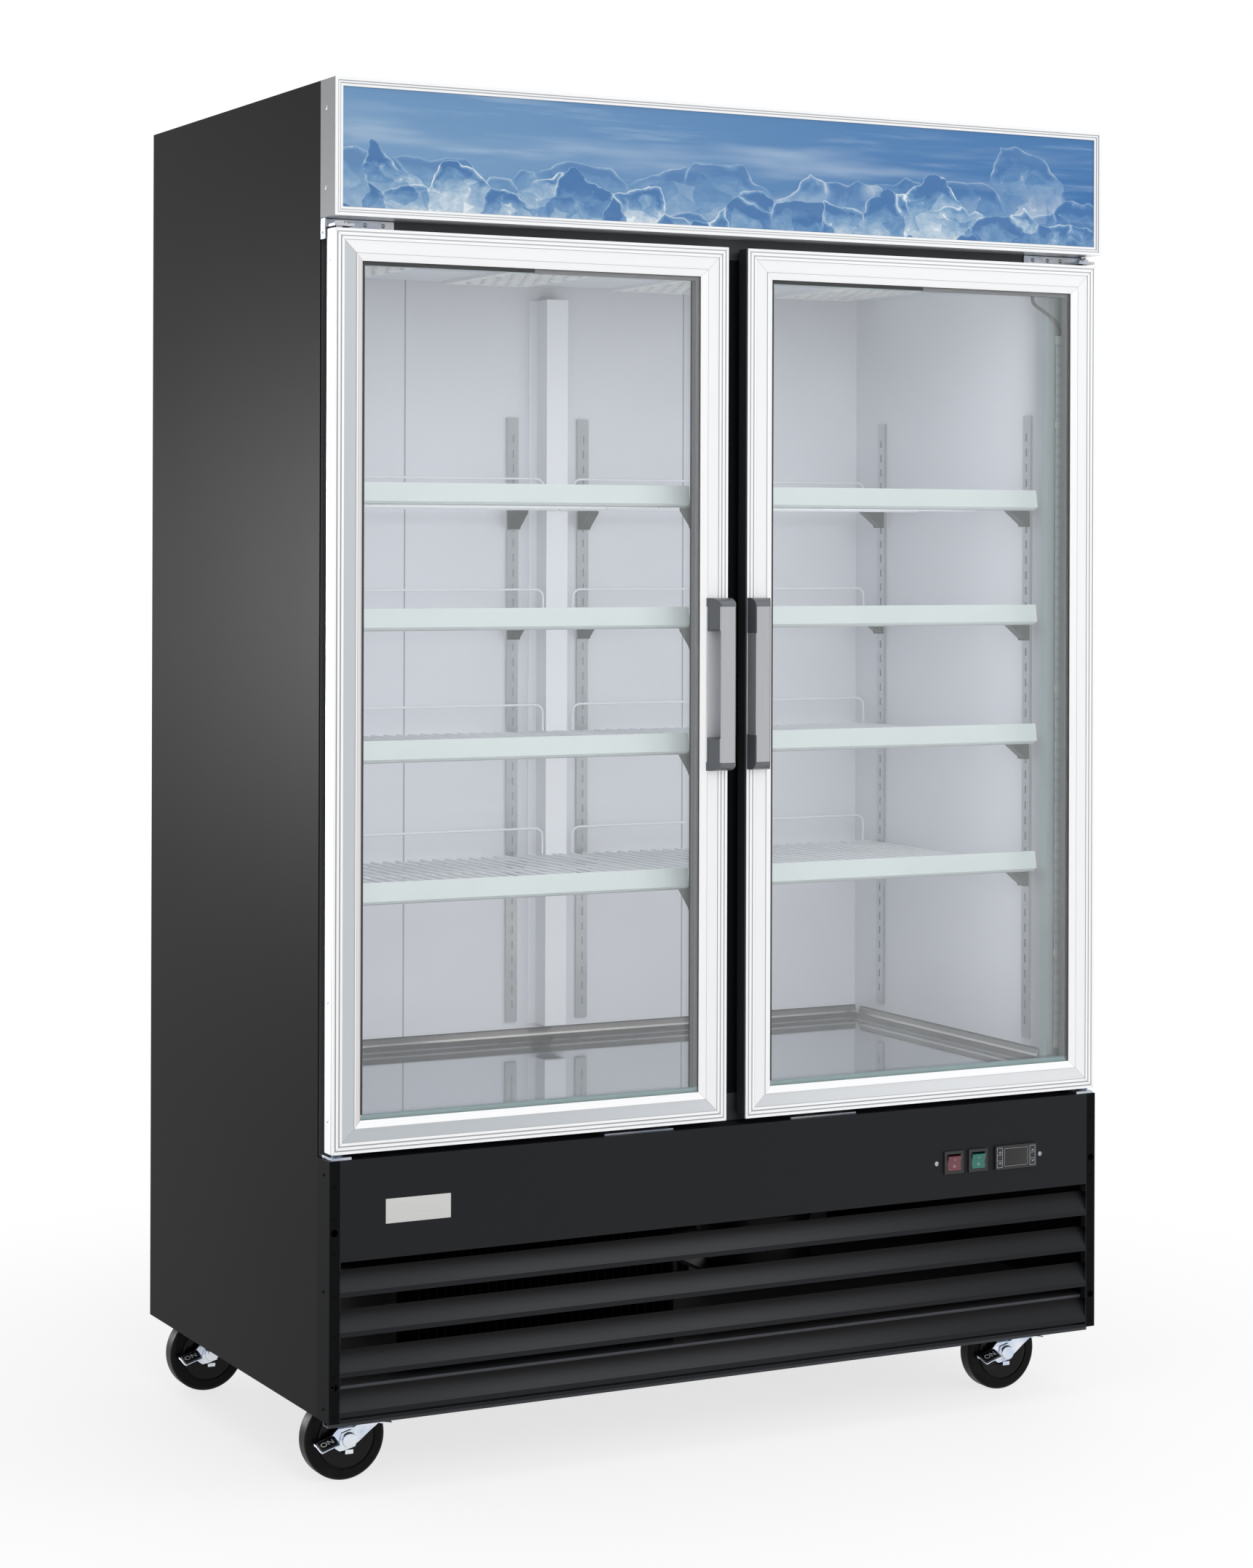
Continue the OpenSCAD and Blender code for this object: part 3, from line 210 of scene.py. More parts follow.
class Finish(Graph):
    """One material: a Principled shader whose sockets are set by name."""

    def __init__(self, name, color, rough, metal=0.0, **constants):
        self.material = bpy.data.materials.new(name)
        self.material.use_nodes = True
        super().__init__(self.material.node_tree)
        self.shader = self.tree.nodes["Principled BSDF"]
        self.set(Base_Color=color, Roughness=rough, Metallic=metal, **constants)

    def set(self, **sockets):
        for name, value in sockets.items():
            self.feed(self.shader.inputs[name.replace("_", " ")], value)
        return self

    def place(self, scale=(1, 1, 1), turn=(0, 0, 0), shift=(0, 0, 0)):
        here = self.node("ShaderNodeTexCoord", out=3)
        return self.node("ShaderNodeMapping", None, here, shift, turn, scale)

    def parts(self, vector):
        """A vector's x, y and z, or a colour's red, green and blue, as sockets."""
        split = self.node("ShaderNodeSeparateXYZ", None, vector).out.node
        return [Socket(self, out) for out in split.outputs]

    def axes(self):
        """The three Object coordinates as sockets."""
        return self.parts(self.node("ShaderNodeTexCoord", out=3))

    def noise(self, scale, detail=2.0, stretch=(1, 1, 1), rough=0.5, turn=(0, 0, 0)):
        return self.node("ShaderNodeTexNoise", None, Vector=self.place(stretch, turn),
                         Scale=scale, Detail=detail, Roughness=rough)

    def cells(self, scale):
        return self.node("ShaderNodeTexVoronoi", None, Vector=self.place(), Scale=scale,
                         Randomness=1.0)

    def mix(self, amount, first, second):
        made = self.node("ShaderNodeMix", {"data_type": "RGBA"}, amount, out=2)
        self.feed(made.out.node.inputs[6], first)
        self.feed(made.out.node.inputs[7], second)
        return made

    def tint(self, amount, color, spread):
        """color, darker where amount is 0 and lighter where it is 1, by spread."""
        dark, light = [c * (1 - spread) for c in color], [min(c * (1 + spread), 1) for c in color]
        return self.mix(amount, dark, light)

    def bump(self, height, strength, depth):
        """Bump with depth in millimetres."""
        self.set(Normal=self.node("ShaderNodeBump", None, Strength=strength,
                                  Distance=depth * MM, Height=height))
        return self


def powder_coat(name, color, rough=0.42, spread=0.10, gloss=0.22):
    """Sprayed enamel with fine orange peel, a little uneven, and duller where dust settles."""
    f = Finish(name, color, rough, Specular_IOR_Level=gloss)
    peel = f.noise(620, 2.0)
    cloud = f.noise(2.4, 4.0)
    speck = f.noise(2400, 0.0).ease(0.66, 0.74)
    f.set(Base_Color=f.tint(cloud * 0.8 + speck * 0.5, color, spread),
          Roughness=cloud * 0.10 + (rough - 0.06) + peel * 0.04)
    return f.bump(peel, 0.35, 0.12)


def base_grille():
    """Black coat of the base; the louvres' sloping faces carry a painted highlight and painted
    shade.
    """
    coat, lit_coat, shadow = (0.0085, 0.0092, 0.0112), (0.033, 0.034, 0.037), (0.001, 0.001, 0.001)
    f = powder_coat("black_base_panel", coat, 0.44, 0.10, 0.16)
    x, y, z = f.axes()
    drop = ((LOUVRE_TOP - z) / LOUVRE_PITCH).fract()
    face = (drop < 0.53) * z.within(LOUVRE_FOOT, LOUVRE_TOP + 0.0002) * (y < y_at(13.2))
    # Painted highlight: the sloping faces lighter towards their foot, brightest left of the middle,
    # fading to the right
    lit = x.ease(-0.66, -0.30, 0.5, 1.0) * x.ease(-0.05, 0.55, 1.0, 0.12) * drop.ease(0.05, 0.45)
    # Painted shade: the top of each face, under the lip above, and the inner edges behind the
    # louvres painted near black
    rear = (y > y_at(12.4)) * (z < LOUVRE_TOP + 0.003)
    dark = (face * drop.ease(0.0, 0.30, 1.0, 0.0)).most(rear)
    base = f.mix(dark, f.tint(f.noise(2.4, 4.0), coat, 0.10), shadow)
    return f.set(Base_Color=f.mix(face * lit, base, lit_coat))


def brushed(name, color, rough, stretch, grain=900, metal=1.0, spread=0.07, depth=0.05):
    """Drawn or brushed metal, its lines along the axis where stretch is small."""
    f = Finish(name, color, rough, metal)
    line = f.noise(grain, 3.0, stretch, 0.6)
    cloud = f.noise(3.0, 3.0)
    f.set(Base_Color=f.tint(line * 0.7 + cloud * 0.3, color, spread),
          Roughness=line * 0.12 + cloud * 0.08 + (rough - 0.10))
    return f.bump(line, 0.25, depth)


def door_insets(node, x, z):
    """How far in a point of either door is from its sides and its ends, and where its foot is."""
    low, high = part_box(node)
    side = (abs(x) - abs(high.x)).least(abs(low.x) - abs(x))
    return side, (z - low.z).least(high.z - z), low.z


def drawn_lines(f, rail, grain):
    """Fine lines along each bar: level where rail is 1, and upright elsewhere."""
    return (f.noise(grain, 2.0, (1, 1, 0.012)) * (1 - rail)
            + f.noise(grain, 2.0, (0.012, 1, 1)) * rail)


def door_aluminium():
    """Satin extrusion drawn along each bar, with painted shade at its ribs and steps, painted
    reflection on the flat, and the corner mitres.
    """
    f = Finish("satin_door_extrusion", (0.80, 0.81, 0.82), 0.34, 0.55)
    x, y, z = f.axes()
    side, end, foot_z = door_insets("left_door_frame", x, z)
    rail = end < side
    inset = side.least(end)
    line = drawn_lines(f, rail, 1500)
    cloud = f.noise(2.2, 3.0)
    face = y < y_at(5.5)
    mitre = end.near(side, 0.0, 0.0006) * (end < 0.0458) * face
    # Painted shade in dark lines: the two grooves between the ribs, the steps on both sides of the
    # flat, the sloping lip
    groove = inset.near(0.005, 0.0006, 0.0013) + inset.near(0.011, 0.0006, 0.0013)
    step = inset.near(0.0162, 0.0, 0.0008) + inset.near(0.0352, 0.0, 0.0008)
    lip = inset.near(0.0385, 0.0003, 0.0010) + inset.near(0.0446, 0.0, 0.0007)
    wall = y.near(y_at(3.75), 0.0006, 0.0011) * (inset < 0.0012)
    outer = (x < -OUTER_STILE) * (1 - rail)
    foot = rail * (z < foot_z + 0.05)
    # Painted shade, darker on the left stile and along the foot, and in the groove of the side wall
    shade = (groove * (0.55 + outer * 0.2 + foot * 0.2) + step * 0.6
             + lip * 0.6 * outer).least(0.85) * face + wall * 0.6
    tone = f.tint(line * 0.6 + cloud * 0.4, (0.86, 0.865, 0.875), 0.04)
    # Painted reflection: the flat and the lip are painted darker on the left stile and along the
    # foot, where they mirror darker surroundings
    flat = inset.within(0.0166, 0.0346) * face
    painted_dark_reflection = outer * 0.85 + foot * x.ease(-0.67, 0.67, 0.95, 0.35)
    tone = f.mix(flat * painted_dark_reflection.most(0.12), tone, (0.44, 0.47, 0.50))
    tone = f.mix((inset > 0.0395) * outer * face * 0.8, tone, (0.64, 0.60, 0.60))
    # Painted shade: the side walls where the doors meet are painted near black and less metallic,
    # as in the gap's shade
    shaded_meeting_wall = (abs(x) < MEETING_EDGE) * (y > y_at(1.2))
    tone = f.mix(shaded_meeting_wall, tone, (0.030, 0.031, 0.034))
    f.set(Base_Color=f.mix((mitre * 0.6).most(shade), tone, (0.20, 0.21, 0.23)),
          Roughness=line * 0.10 + cloud * 0.06 + 0.23, Metallic=(1 - shaded_meeting_wall) * 0.55)
    return f.bump(line - mitre * 2.0, 0.2, 0.05)


def header_extrusion():
    """Drawn header bars: painted shade in fine lines where the front steps, and end faces painted a
    shaded grey.
    """
    f = Finish("header_extrusion", (0.80, 0.81, 0.82), 0.30, 0.55)
    low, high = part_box("header_frame")
    x, y, z = f.axes()
    side = high.x - abs(x)
    end = (z - low.z).least(high.z - z)
    rail = end < side
    inset = side.least(end)
    line = drawn_lines(f, rail, 1300)
    cloud = f.noise(2.2, 3.0)
    # Painted shade: fine dark lines where the front steps
    step = inset.near(0.0051, 0.0004, 0.0012) + inset.near(0.0087, 0.0004, 0.0012)
    step = (step * 0.62 + inset.near(0.0128, 0.0, 0.0006) * 0.5).least(0.8) * (y < y_at(-5.5))
    # Painted shade: the end faces painted a plain darker grey than the front, and not metallic
    shaded_end_face = (side < 0.0002) * (y > y_at(-9.6))
    tone = f.tint(line * 0.6 + cloud * 0.4, (0.82, 0.83, 0.84), 0.04)
    tone = f.mix(step, tone, (0.22, 0.23, 0.25))
    tone = f.mix(shaded_end_face, tone, f.tint(line, (0.225, 0.235, 0.25), 0.05))
    f.set(Base_Color=tone, Roughness=line * 0.10 + cloud * 0.06 + 0.22,
          Metallic=(1 - shaded_end_face) * 0.55)
    return f.bump(line, 0.2, 0.05)


def galvanised(name, color, rough=0.30, metal=0.95):
    """Bright zinc plating: soft spangle, faint draw lines and a cool cast."""
    f = Finish(name, color, rough, metal)
    spangle = f.cells(160)
    cloud = f.noise(28, 4.0)
    scuff = f.noise(90, 5.0, (1, 1, 6)).ease(0.58, 0.72)
    cool = f.mix(cloud.ease(0.35, 0.65), [c * m for c, m in zip(color, (0.66, 0.74, 0.88))], color)
    f.set(Base_Color=f.mix(scuff * 0.25, cool, [c * 0.72 for c in color]),
          Roughness=spangle * 0.12 + cloud * 0.10 + scuff * 0.10 + (rough - 0.10))
    return f.bump(cloud + spangle * 0.4, 0.25, 0.10)


def plastic(name, color, rough=0.45, grain=1500, depth=0.04, **more):
    """Moulded plastic with a fine spark-eroded grain."""
    f = Finish(name, color, rough, **more)
    grit = f.noise(grain, 2.0)
    cloud = f.noise(9, 3.0)
    f.set(Base_Color=f.tint(cloud, color, 0.06),
          Roughness=grit * 0.12 + cloud * 0.08 + (rough - 0.10))
    return f.bump(grit, 0.3, depth)


def rubber(name, color, rough, gloss=0.4, dust=0.35):
    """Black rubber, greyer and duller in patches where dust clings."""
    f = Finish(name, color, rough, Specular_IOR_Level=gloss)
    grit = f.noise(800, 3.0)
    scuff = f.noise(60, 5.0).ease(0.5, 0.8)
    f.set(Base_Color=f.mix(scuff * dust, color, (0.06, 0.058, 0.055)),
          Roughness=scuff * 0.18 + grit * 0.06 + (rough - 0.06))
    return f.bump(grit, 0.3, 0.06)


def door_gasket():
    """Black gasket and edge band; the spacer between the panes is painted pale where light falls on
    it.
    """
    black = (0.016, 0.016, 0.018)
    f = rubber("door_gasket", black, 0.5)
    x, y, z = f.axes()
    side, end, foot_z = door_insets("left_door_frame", x, z)
    inset = side.least(end)
    near = y < y_at(24)
    spacer = (inset > 0.045) * near
    # Painted light and shade on the spacer: pale where lit, darker at the foot, and grey on the
    # right side of each door
    foot = (z < foot_z + 0.0535) * spacer
    right = (x > DOOR_MIDDLE).most(x.within(-DOOR_MIDDLE, 0.0)) * spacer
    grit = f.noise(500, 2.0)
    tone = f.mix((inset > 0.05193) * near, f.tint(grit, black, 0.2),
                 f.tint(grit, (0.60, 0.74, 0.75), 0.04))
    tone = f.mix(right, tone, f.tint(grit, (0.25, 0.25, 0.255), 0.04))
    return f.set(Base_Color=f.mix(foot, tone, f.tint(grit, (0.36, 0.48, 0.49), 0.04)))


def jamb_finish():
    """Dark moulded frame; its inner faces, seen past the lamps, are pale."""
    dark, pale = (0.045, 0.047, 0.052), (0.56, 0.68, 0.70)
    f = plastic("front_frame_moulding", dark, 0.5)
    x, y, z = f.axes()
    inner = (y > y_at(46.8)) * (abs(x) < 0.6495) * z.within(0.5, 1.83)
    cloud = f.noise(4, 3.0)
    return f.set(Base_Color=f.mix(inner, f.tint(cloud, dark, 0.08), f.tint(cloud, pale, 0.04)))


def cabin_floor():
    """Bright stainless tray that mirrors the back wall, with rolled rails along its edges in
    painted reflections.
    """
    steel, rail_wide, rail_high = (0.50, 0.53, 0.58), 0.0225, 0.0235
    f = Finish("stainless_tray", steel, 0.07, 1.0)
    low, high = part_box("floor_panel")
    x, y, z = f.axes()
    rail = ((high.y - y).least(high.x - abs(x)) < rail_wide) * (y > low.y + 0.001)
    rise = (z - low.z) / rail_high + (f.noise(500, 2.0, (0.02, 0.02, 1)) - 0.5) * 0.06
    # Painted reflections on the rolled rails: dark and bright bands up their height, with a thin
    # painted highlight
    painted_rail_reflection = f.node("ShaderNodeValToRGB", {"stops": [
        (0.10, (0.24, 0.23, 0.25)), (0.16, (0.050, 0.045, 0.050)), (0.40, (0.085, 0.078, 0.084)),
        (0.46, (0.72, 0.70, 0.69)), (0.54, (0.70, 0.68, 0.67)), (0.60, (0.26, 0.24, 0.24)),
        (0.86, (0.21, 0.195, 0.20)), (0.93, (0.02, 0.02, 0.022))]}, rise)
    cloud = f.noise(5.0, 4.0)
    f.set(Base_Color=f.mix(rail, f.tint(cloud, steel, 0.05), painted_rail_reflection),
          Roughness=cloud * 0.05 + 0.035 + rail * 0.18)
    return f.bump(f.noise(3.2, 2.0), 0.12, 0.9)


def pane_glass():
    """Thin clear glass: a mirror as strong as its Fresnel, and clear otherwise."""
    clear, green_edge = (0.93, 0.97, 0.97), (0.35, 0.62, 0.58)
    f = Finish("door_pane", clear, 0.02, 1.0)
    gloss = f.node("ShaderNodeFresnel", None, IOR=1.45)
    smear = f.noise(7, 4.0).ease(0.45, 0.85)
    x, _, z = f.axes()
    side, end, _ = door_insets("left_door_glass", x, z)
    edge = side.least(end) < 0.0002
    return f.set(Alpha=(gloss * 0.85 + 0.012 + smear * 0.012).most(edge * 0.75),
                 Base_Color=f.mix(edge, clear, green_edge), Roughness=smear * 0.03 + 0.01)


def wire_white():
    """White dip coat over the shelves' wires, thicker in drips."""
    f = Finish("dipped_wire", (0.74, 0.77, 0.79), 0.32, Specular_IOR_Level=0.5, Coat_Weight=0.25)
    drip = f.noise(140, 2.0)
    cloud = f.noise(6, 3.0)
    f.set(Base_Color=f.tint(drip * 0.5 + cloud * 0.5, (0.72, 0.75, 0.78), 0.05),
          Roughness=drip * 0.16 + 0.24)
    return f.bump(drip, 0.3, 0.12)


def liner_sheet():
    """Pale liner: satin sheet with the back wall's two seams and a soft stucco."""
    f = Finish("liner_sheet", (0.67, 0.69, 0.74), 0.36)
    x, y, _ = f.axes()
    stucco = f.noise(260, 3.0)
    cloud = f.noise(1.7, 3.0)
    seam = abs(x).near(0.266, 0.0004, 0.0022) * (y > 0.290)
    tone = f.tint(cloud, (0.67, 0.685, 0.740), 0.05)
    f.set(Base_Color=f.mix(seam * 0.85, tone, (0.20, 0.22, 0.25)),
          Roughness=stucco * 0.12 + cloud * 0.08 + 0.26)
    return f.bump(stucco - seam * 3.0, 0.25, 0.10)


def ice_row(f, size, ridge, seed):
    """A row of clear lumps: where it stands, and its tone from deep blue to white."""
    squash = 1.35
    low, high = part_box("header_sign")
    here = f.place((1, 0, squash), shift=(seed, 0, 0))
    sway = f.node("ShaderNodeTexNoise", None, out=1, Vector=here, Scale=size * 1.6, Detail=2.0)
    bent = f.node("ShaderNodeVectorMath", {"operation": "MULTIPLY_ADD"}, sway,
                  (0.55 / size, 0.0, 0.55 / size), here)
    lump = {"Vector": bent, "Scale": size, "Randomness": 0.82}
    middle, chance = [f.node("ShaderNodeTexVoronoi", None, out=i, **lump) for i in (2, 1)]
    rim = f.node("ShaderNodeTexVoronoi", {"feature": "DISTANCE_TO_EDGE"}, **lump)
    mx, _, mz = f.parts(middle)
    luck = f.parts(chance)[0]
    up = (mz / squash - 0.2 / size - low.z) / (high.z - low.z)
    there = up < (mx * 8.3 + seed).wave() * 0.10 + (mx * 21.0).wave() * 0.06 + ridge
    rise = (f.parts(bent)[2] - mz) * size
    facet = f.node("ShaderNodeTexVoronoi", None, out=1, Vector=bent, Scale=size * 2.6)
    facet = f.parts(facet)[0]
    melt = f.node("ShaderNodeTexNoise", None, Vector=bent, Scale=size * 3.4, Detail=5.0,
                  Roughness=0.62)
    top = rise.ease(0.05, 0.30)
    edge = rim.ease(0.0, 0.045, 1.0, 0.0)
    inner = rim.ease(0.03, 0.10) * rim.ease(0.10, 0.22, 1.0, 0.0)
    spark = melt.ease(0.60, 0.66) * (luck > 0.35)
    tone = (0.40 + (luck - 0.5) * 0.45 - rise * 0.55 + (facet - 0.5) * 0.30 + (melt - 0.5) * 0.9
            + edge * top * 0.55 - inner * top * 0.30 + spark * 0.22)
    return there, tone


def header_art():
    """A made-up winter view: streaked blue sky over two rows of clear ice."""
    f = Finish("sign_print", (0.1, 0.2, 0.4), 0.22, Specular_IOR_Level=0.3)
    x, _, z = f.axes()
    low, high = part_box("header_sign")
    up = (z - low.z) / (high.z - low.z)
    sky = f.mix(x.ease(-0.75, 0.75), (0.140, 0.255, 0.410), (0.030, 0.120, 0.300))
    sky = f.mix(up.ease(0.35, 1.0) * 0.35, sky, (0.070, 0.180, 0.360))
    streak = f.noise(4.2, 3.0, (0.55, 1, 4.2), 0.5, (0, 0.03, 0))
    sky = f.mix(streak.ease(0.50, 0.76) * 0.62, sky, (0.36, 0.45, 0.55))
    wisp = f.noise(10, 4.0, (0.4, 1, 6.0), 0.6)
    picture = f.mix(wisp.ease(0.52, 0.80) * 0.30, sky, (0.40, 0.50, 0.60))
    ice_tones = {"stops": [
        (0.0, (0.045, 0.130, 0.300)), (0.30, (0.110, 0.225, 0.390)), (0.55, (0.235, 0.345, 0.470)),
        (0.78, (0.430, 0.510, 0.580)), (1.0, (0.640, 0.680, 0.700))]}
    for size, ridge, seed, strength in ((9.0, 0.42, 3.7, 0.55), (13.0, 0.27, 1.2, 0.92)):
        there, tone = ice_row(f, size, ridge, seed)
        ice = f.node("ShaderNodeValToRGB", ice_tones, tone)
        picture = f.mix(there * strength, picture, ice)
    return f.set(Base_Color=picture, Roughness=streak * 0.08 + 0.16)


def lamp_tube():
    """Frosted tube, unlit, with its row of chips showing through."""
    chip_pitch = 0.0166
    f = Finish("lamp_lens", (0.78, 0.80, 0.82), 0.25, Coat_Weight=0.4)
    z = f.axes()[2]
    chip = ((z * (math.tau / chip_pitch)).wave() * 0.5 + 0.5) ** 3.0
    frost = f.noise(120, 4.0, (1, 1, 0.3))
    band = f.mix(chip * 0.35 + frost * 0.5, (0.80, 0.82, 0.84), (0.52, 0.55, 0.58))
    return f.set(Base_Color=band, Roughness=frost * 0.15 + 0.2)


def lamp_fittings():
    """White caps and clips; the leads above the tubes are black."""
    white, black = (0.80, 0.81, 0.80), (0.016, 0.016, 0.018)
    f = plastic("lamp_fittings", white, 0.4)
    lead = f.axes()[2].within(1.7295, 1.85)
    grit = f.noise(900, 2.0)
    return f.set(Base_Color=f.mix(lead, f.tint(grit, white, 0.04), black),
                 Roughness=grit * 0.12 + 0.34)


def handle_finish():
    """Brushed steel grip with a painted bright reflection in its hollow, held between dark moulded
    caps.
    """
    f = Finish("grip_and_caps", (0.30, 0.31, 0.33), 0.35, 1.0)
    x, y, z = f.axes()
    out = abs(z - HANDLE_HEIGHT)
    across = abs(x) - HANDLE_MIDDLE
    hollow = y.within(y_at(-25.3), y_at(-2.6)) * (across > 0.0062)
    web = across < 0.0012
    cap = (out > 0.1191).most((out > 0.078) * hollow.most(web))
    face = y < y_at(-25.9)
    line = f.noise(1300, 2.0, (1, 1, 0.012))
    grit = f.noise(1400, 2.0)
    # Painted reflection: one steel painted bright in the hollow and on the sides, and darker on the
    # brushed front
    bright, brushed_face = (0.80, 0.81, 0.83), (0.46, 0.47, 0.49)
    steel = f.mix(face, f.tint(line, bright, 0.06), f.tint(line, brushed_face, 0.12))
    dark = f.tint(grit, (0.105, 0.112, 0.125), 0.08)
    f.set(Base_Color=f.mix(cap, steel, dark), Metallic=(1 - cap) * (0.72 + face * 0.23),
          Roughness=line * 0.15 * (1 - cap) + grit * 0.1 + 0.20 + cap * 0.06)
    return f.bump(line * (1 - cap) + grit * cap, 0.3, 0.05)


def compressor_finish():
    """Black enamel can with copper pipes above it."""
    f = powder_coat("compressor_enamel", (0.012, 0.012, 0.013), 0.25)
    can_top = 0.3590
    pipe = f.axes()[2] > can_top
    patina = f.noise(70, 4.0)
    enamel = f.tint(patina, (0.014, 0.014, 0.016), 0.3)
    copper = f.mix(patina, (0.55, 0.24, 0.11), (0.30, 0.13, 0.07))
    return f.set(Base_Color=f.mix(pipe, enamel, copper), Metallic=pipe,
                 Roughness=patina * 0.2 + 0.22)


def dress_nodes():
    """Gives every solid of the cabinet its finish, and returns the finishes by node."""
    black = powder_coat("black_side_sheet", (0.0060, 0.0064, 0.0078), 0.33, 0.10, 0.02)
    grille = base_grille()
    post = powder_coat("black_corner_post", (0.0050, 0.0054, 0.0064), 0.44, 0.10, 0.02)
    jamb = jamb_finish()
    mullion = powder_coat("black_mullion", (0.008, 0.0085, 0.0095), 0.36, 0.10, 0.12)
    liner = liner_sheet()
    tray = cabin_floor()
    cover = powder_coat("evaporator_cover", (0.62, 0.65, 0.70), 0.38, 0.04, 0.5)
    white_grille = plastic("ceiling_grille", (0.78, 0.80, 0.81), 0.45)
    coil = brushed("coil_fins", (0.62, 0.64, 0.66), 0.36, (1, 1, 0.02))
    fan = plastic("black_fan", (0.02, 0.02, 0.022), 0.4)
    duct = powder_coat("air_duct", (0.80, 0.82, 0.86), 0.34, 0.04, 0.5)
    pilaster = brushed("slotted_strip", (0.58, 0.61, 0.64), 0.36, (1, 1, 0.02))
    clip = plastic("shelf_clip", (0.022, 0.023, 0.026), 0.4)
    # Painted light: the label strips glow faintly, though they are no lamps
    strip = plastic("label_strip_painted_glow", (0.80, 0.88, 0.88), 0.25, Coat_Weight=0.3,
                    Emission_Color=(0.74, 0.84, 0.84, 1), Emission_Strength=0.20)
    chassis = powder_coat("chassis_rail", (0.055, 0.058, 0.065), 0.5)
    control = plastic("control_black", (0.010, 0.010, 0.011), 0.32)
    button = plastic("soft_button", (0.030, 0.030, 0.033), 0.5)
    red = plastic("red_lens", (0.13, 0.030, 0.042), 0.22, Coat_Weight=0.4)
    green = plastic("green_lens", (0.010, 0.135, 0.105), 0.22, Coat_Weight=0.4)
    hinge = galvanised("hinge_zinc", (0.60, 0.61, 0.63), 0.32)
    zinc = galvanised("caster_zinc", (0.84, 0.87, 0.91), 0.20)
    # Painted shade: the condenser fins behind the louvres are painted near black
    fins = powder_coat("condenser_fins_painted_shade", (0.003, 0.003, 0.003), 0.6, 0.1, 0.02)
    header = header_extrusion()
    gasket = door_gasket()
    tyre = rubber("caster_tread", (0.003, 0.003, 0.0033), 0.40, 0.10, 0.12)
    foam = plastic("foam_core", (0.70, 0.62, 0.38), 0.8, 300, 0.2)
    wires = wire_white()
    panes = pane_glass()
    doors = door_aluminium()
    grips = handle_finish()
    looks = {
        "left_side_panel": black, "right_side_panel": black, "top_panel": black,
        "back_panel": black, "foam_body": foam, "inner_liner": liner, "front_frame": jamb,
        "centre_mullion": mullion, "floor_panel": tray, "evaporator_cover": cover,
        "ceiling_grilles": white_grille, "evaporator": coil, "evaporator_fan": fan,
        "rear_duct": duct, "pilasters": pilaster, "shelf_clips": clip, "price_strips": strip,
        "led_tubes": lamp_tube(), "led_fittings": lamp_fittings(), "header_frame": header,
        "header_sign": header_art(), "base_panel": grille, "corner_posts": post,
        "chassis": chassis, "control_housings": control, "red_rocker": red,
        "green_rocker": green, "hinge_brackets": hinge, "compressor": compressor_finish(),
        "condenser": fins, "condenser_fan": fan, "caster_plates": zinc,
    }
    for level in ("bottom", "second", "third", "top"):
        looks["shelves_" + level] = wires
    for key in ("set", "defrost", "up", "down"):
        looks[key + "_button"] = button
    for side in ("left", "right"):
        looks[side + "_door_frame"] = doors
        looks[side + "_door_glass"] = panes
        looks[side + "_door_seal"] = gasket
        looks[side + "_door_handle"] = grips
    for place in CASTERS:
        looks["fork_" + place] = zinc
        looks["brake_" + place] = zinc
        looks["wheel_" + place] = tyre
    for name, finish in looks.items():
        mesh = nodes[name].data
        mesh.materials.clear()
        mesh.materials.append(finish.material)
    return looks


# ---- Making pieces ---------------------------------------------------------------------

TO_ROW = Matrix.Translation(row(0, 0, 0)) @ Matrix.Scale(MM, 4)


def settle(piece):
    """Turns a piece's modifiers into plain mesh."""
    bpy.context.view_layer.update()
    graph = bpy.context.evaluated_depsgraph_get()
    mesh = bpy.data.meshes.new_from_object(piece.evaluated_get(graph), depsgraph=graph)
    piece.modifiers.clear()
    piece.data = mesh
    return mesh


def hang(piece, finish, body, slot, *stands_for):
    """Gives a finished piece its material and its body; slot is not used."""
    piece.data.materials.clear()
    piece.data.materials.append(finish.material)
    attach(piece, body)
    if stands_for:
        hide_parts(*stands_for)
    return piece


def circle(radius, count, start=0.0):
    """Points (x, z) round a circle; start turns them by that part of a step."""
    angles = [math.tau * (i + start) / count for i in range(count)]
    return [(radius * math.cos(a), radius * math.sin(a)) for a in angles]


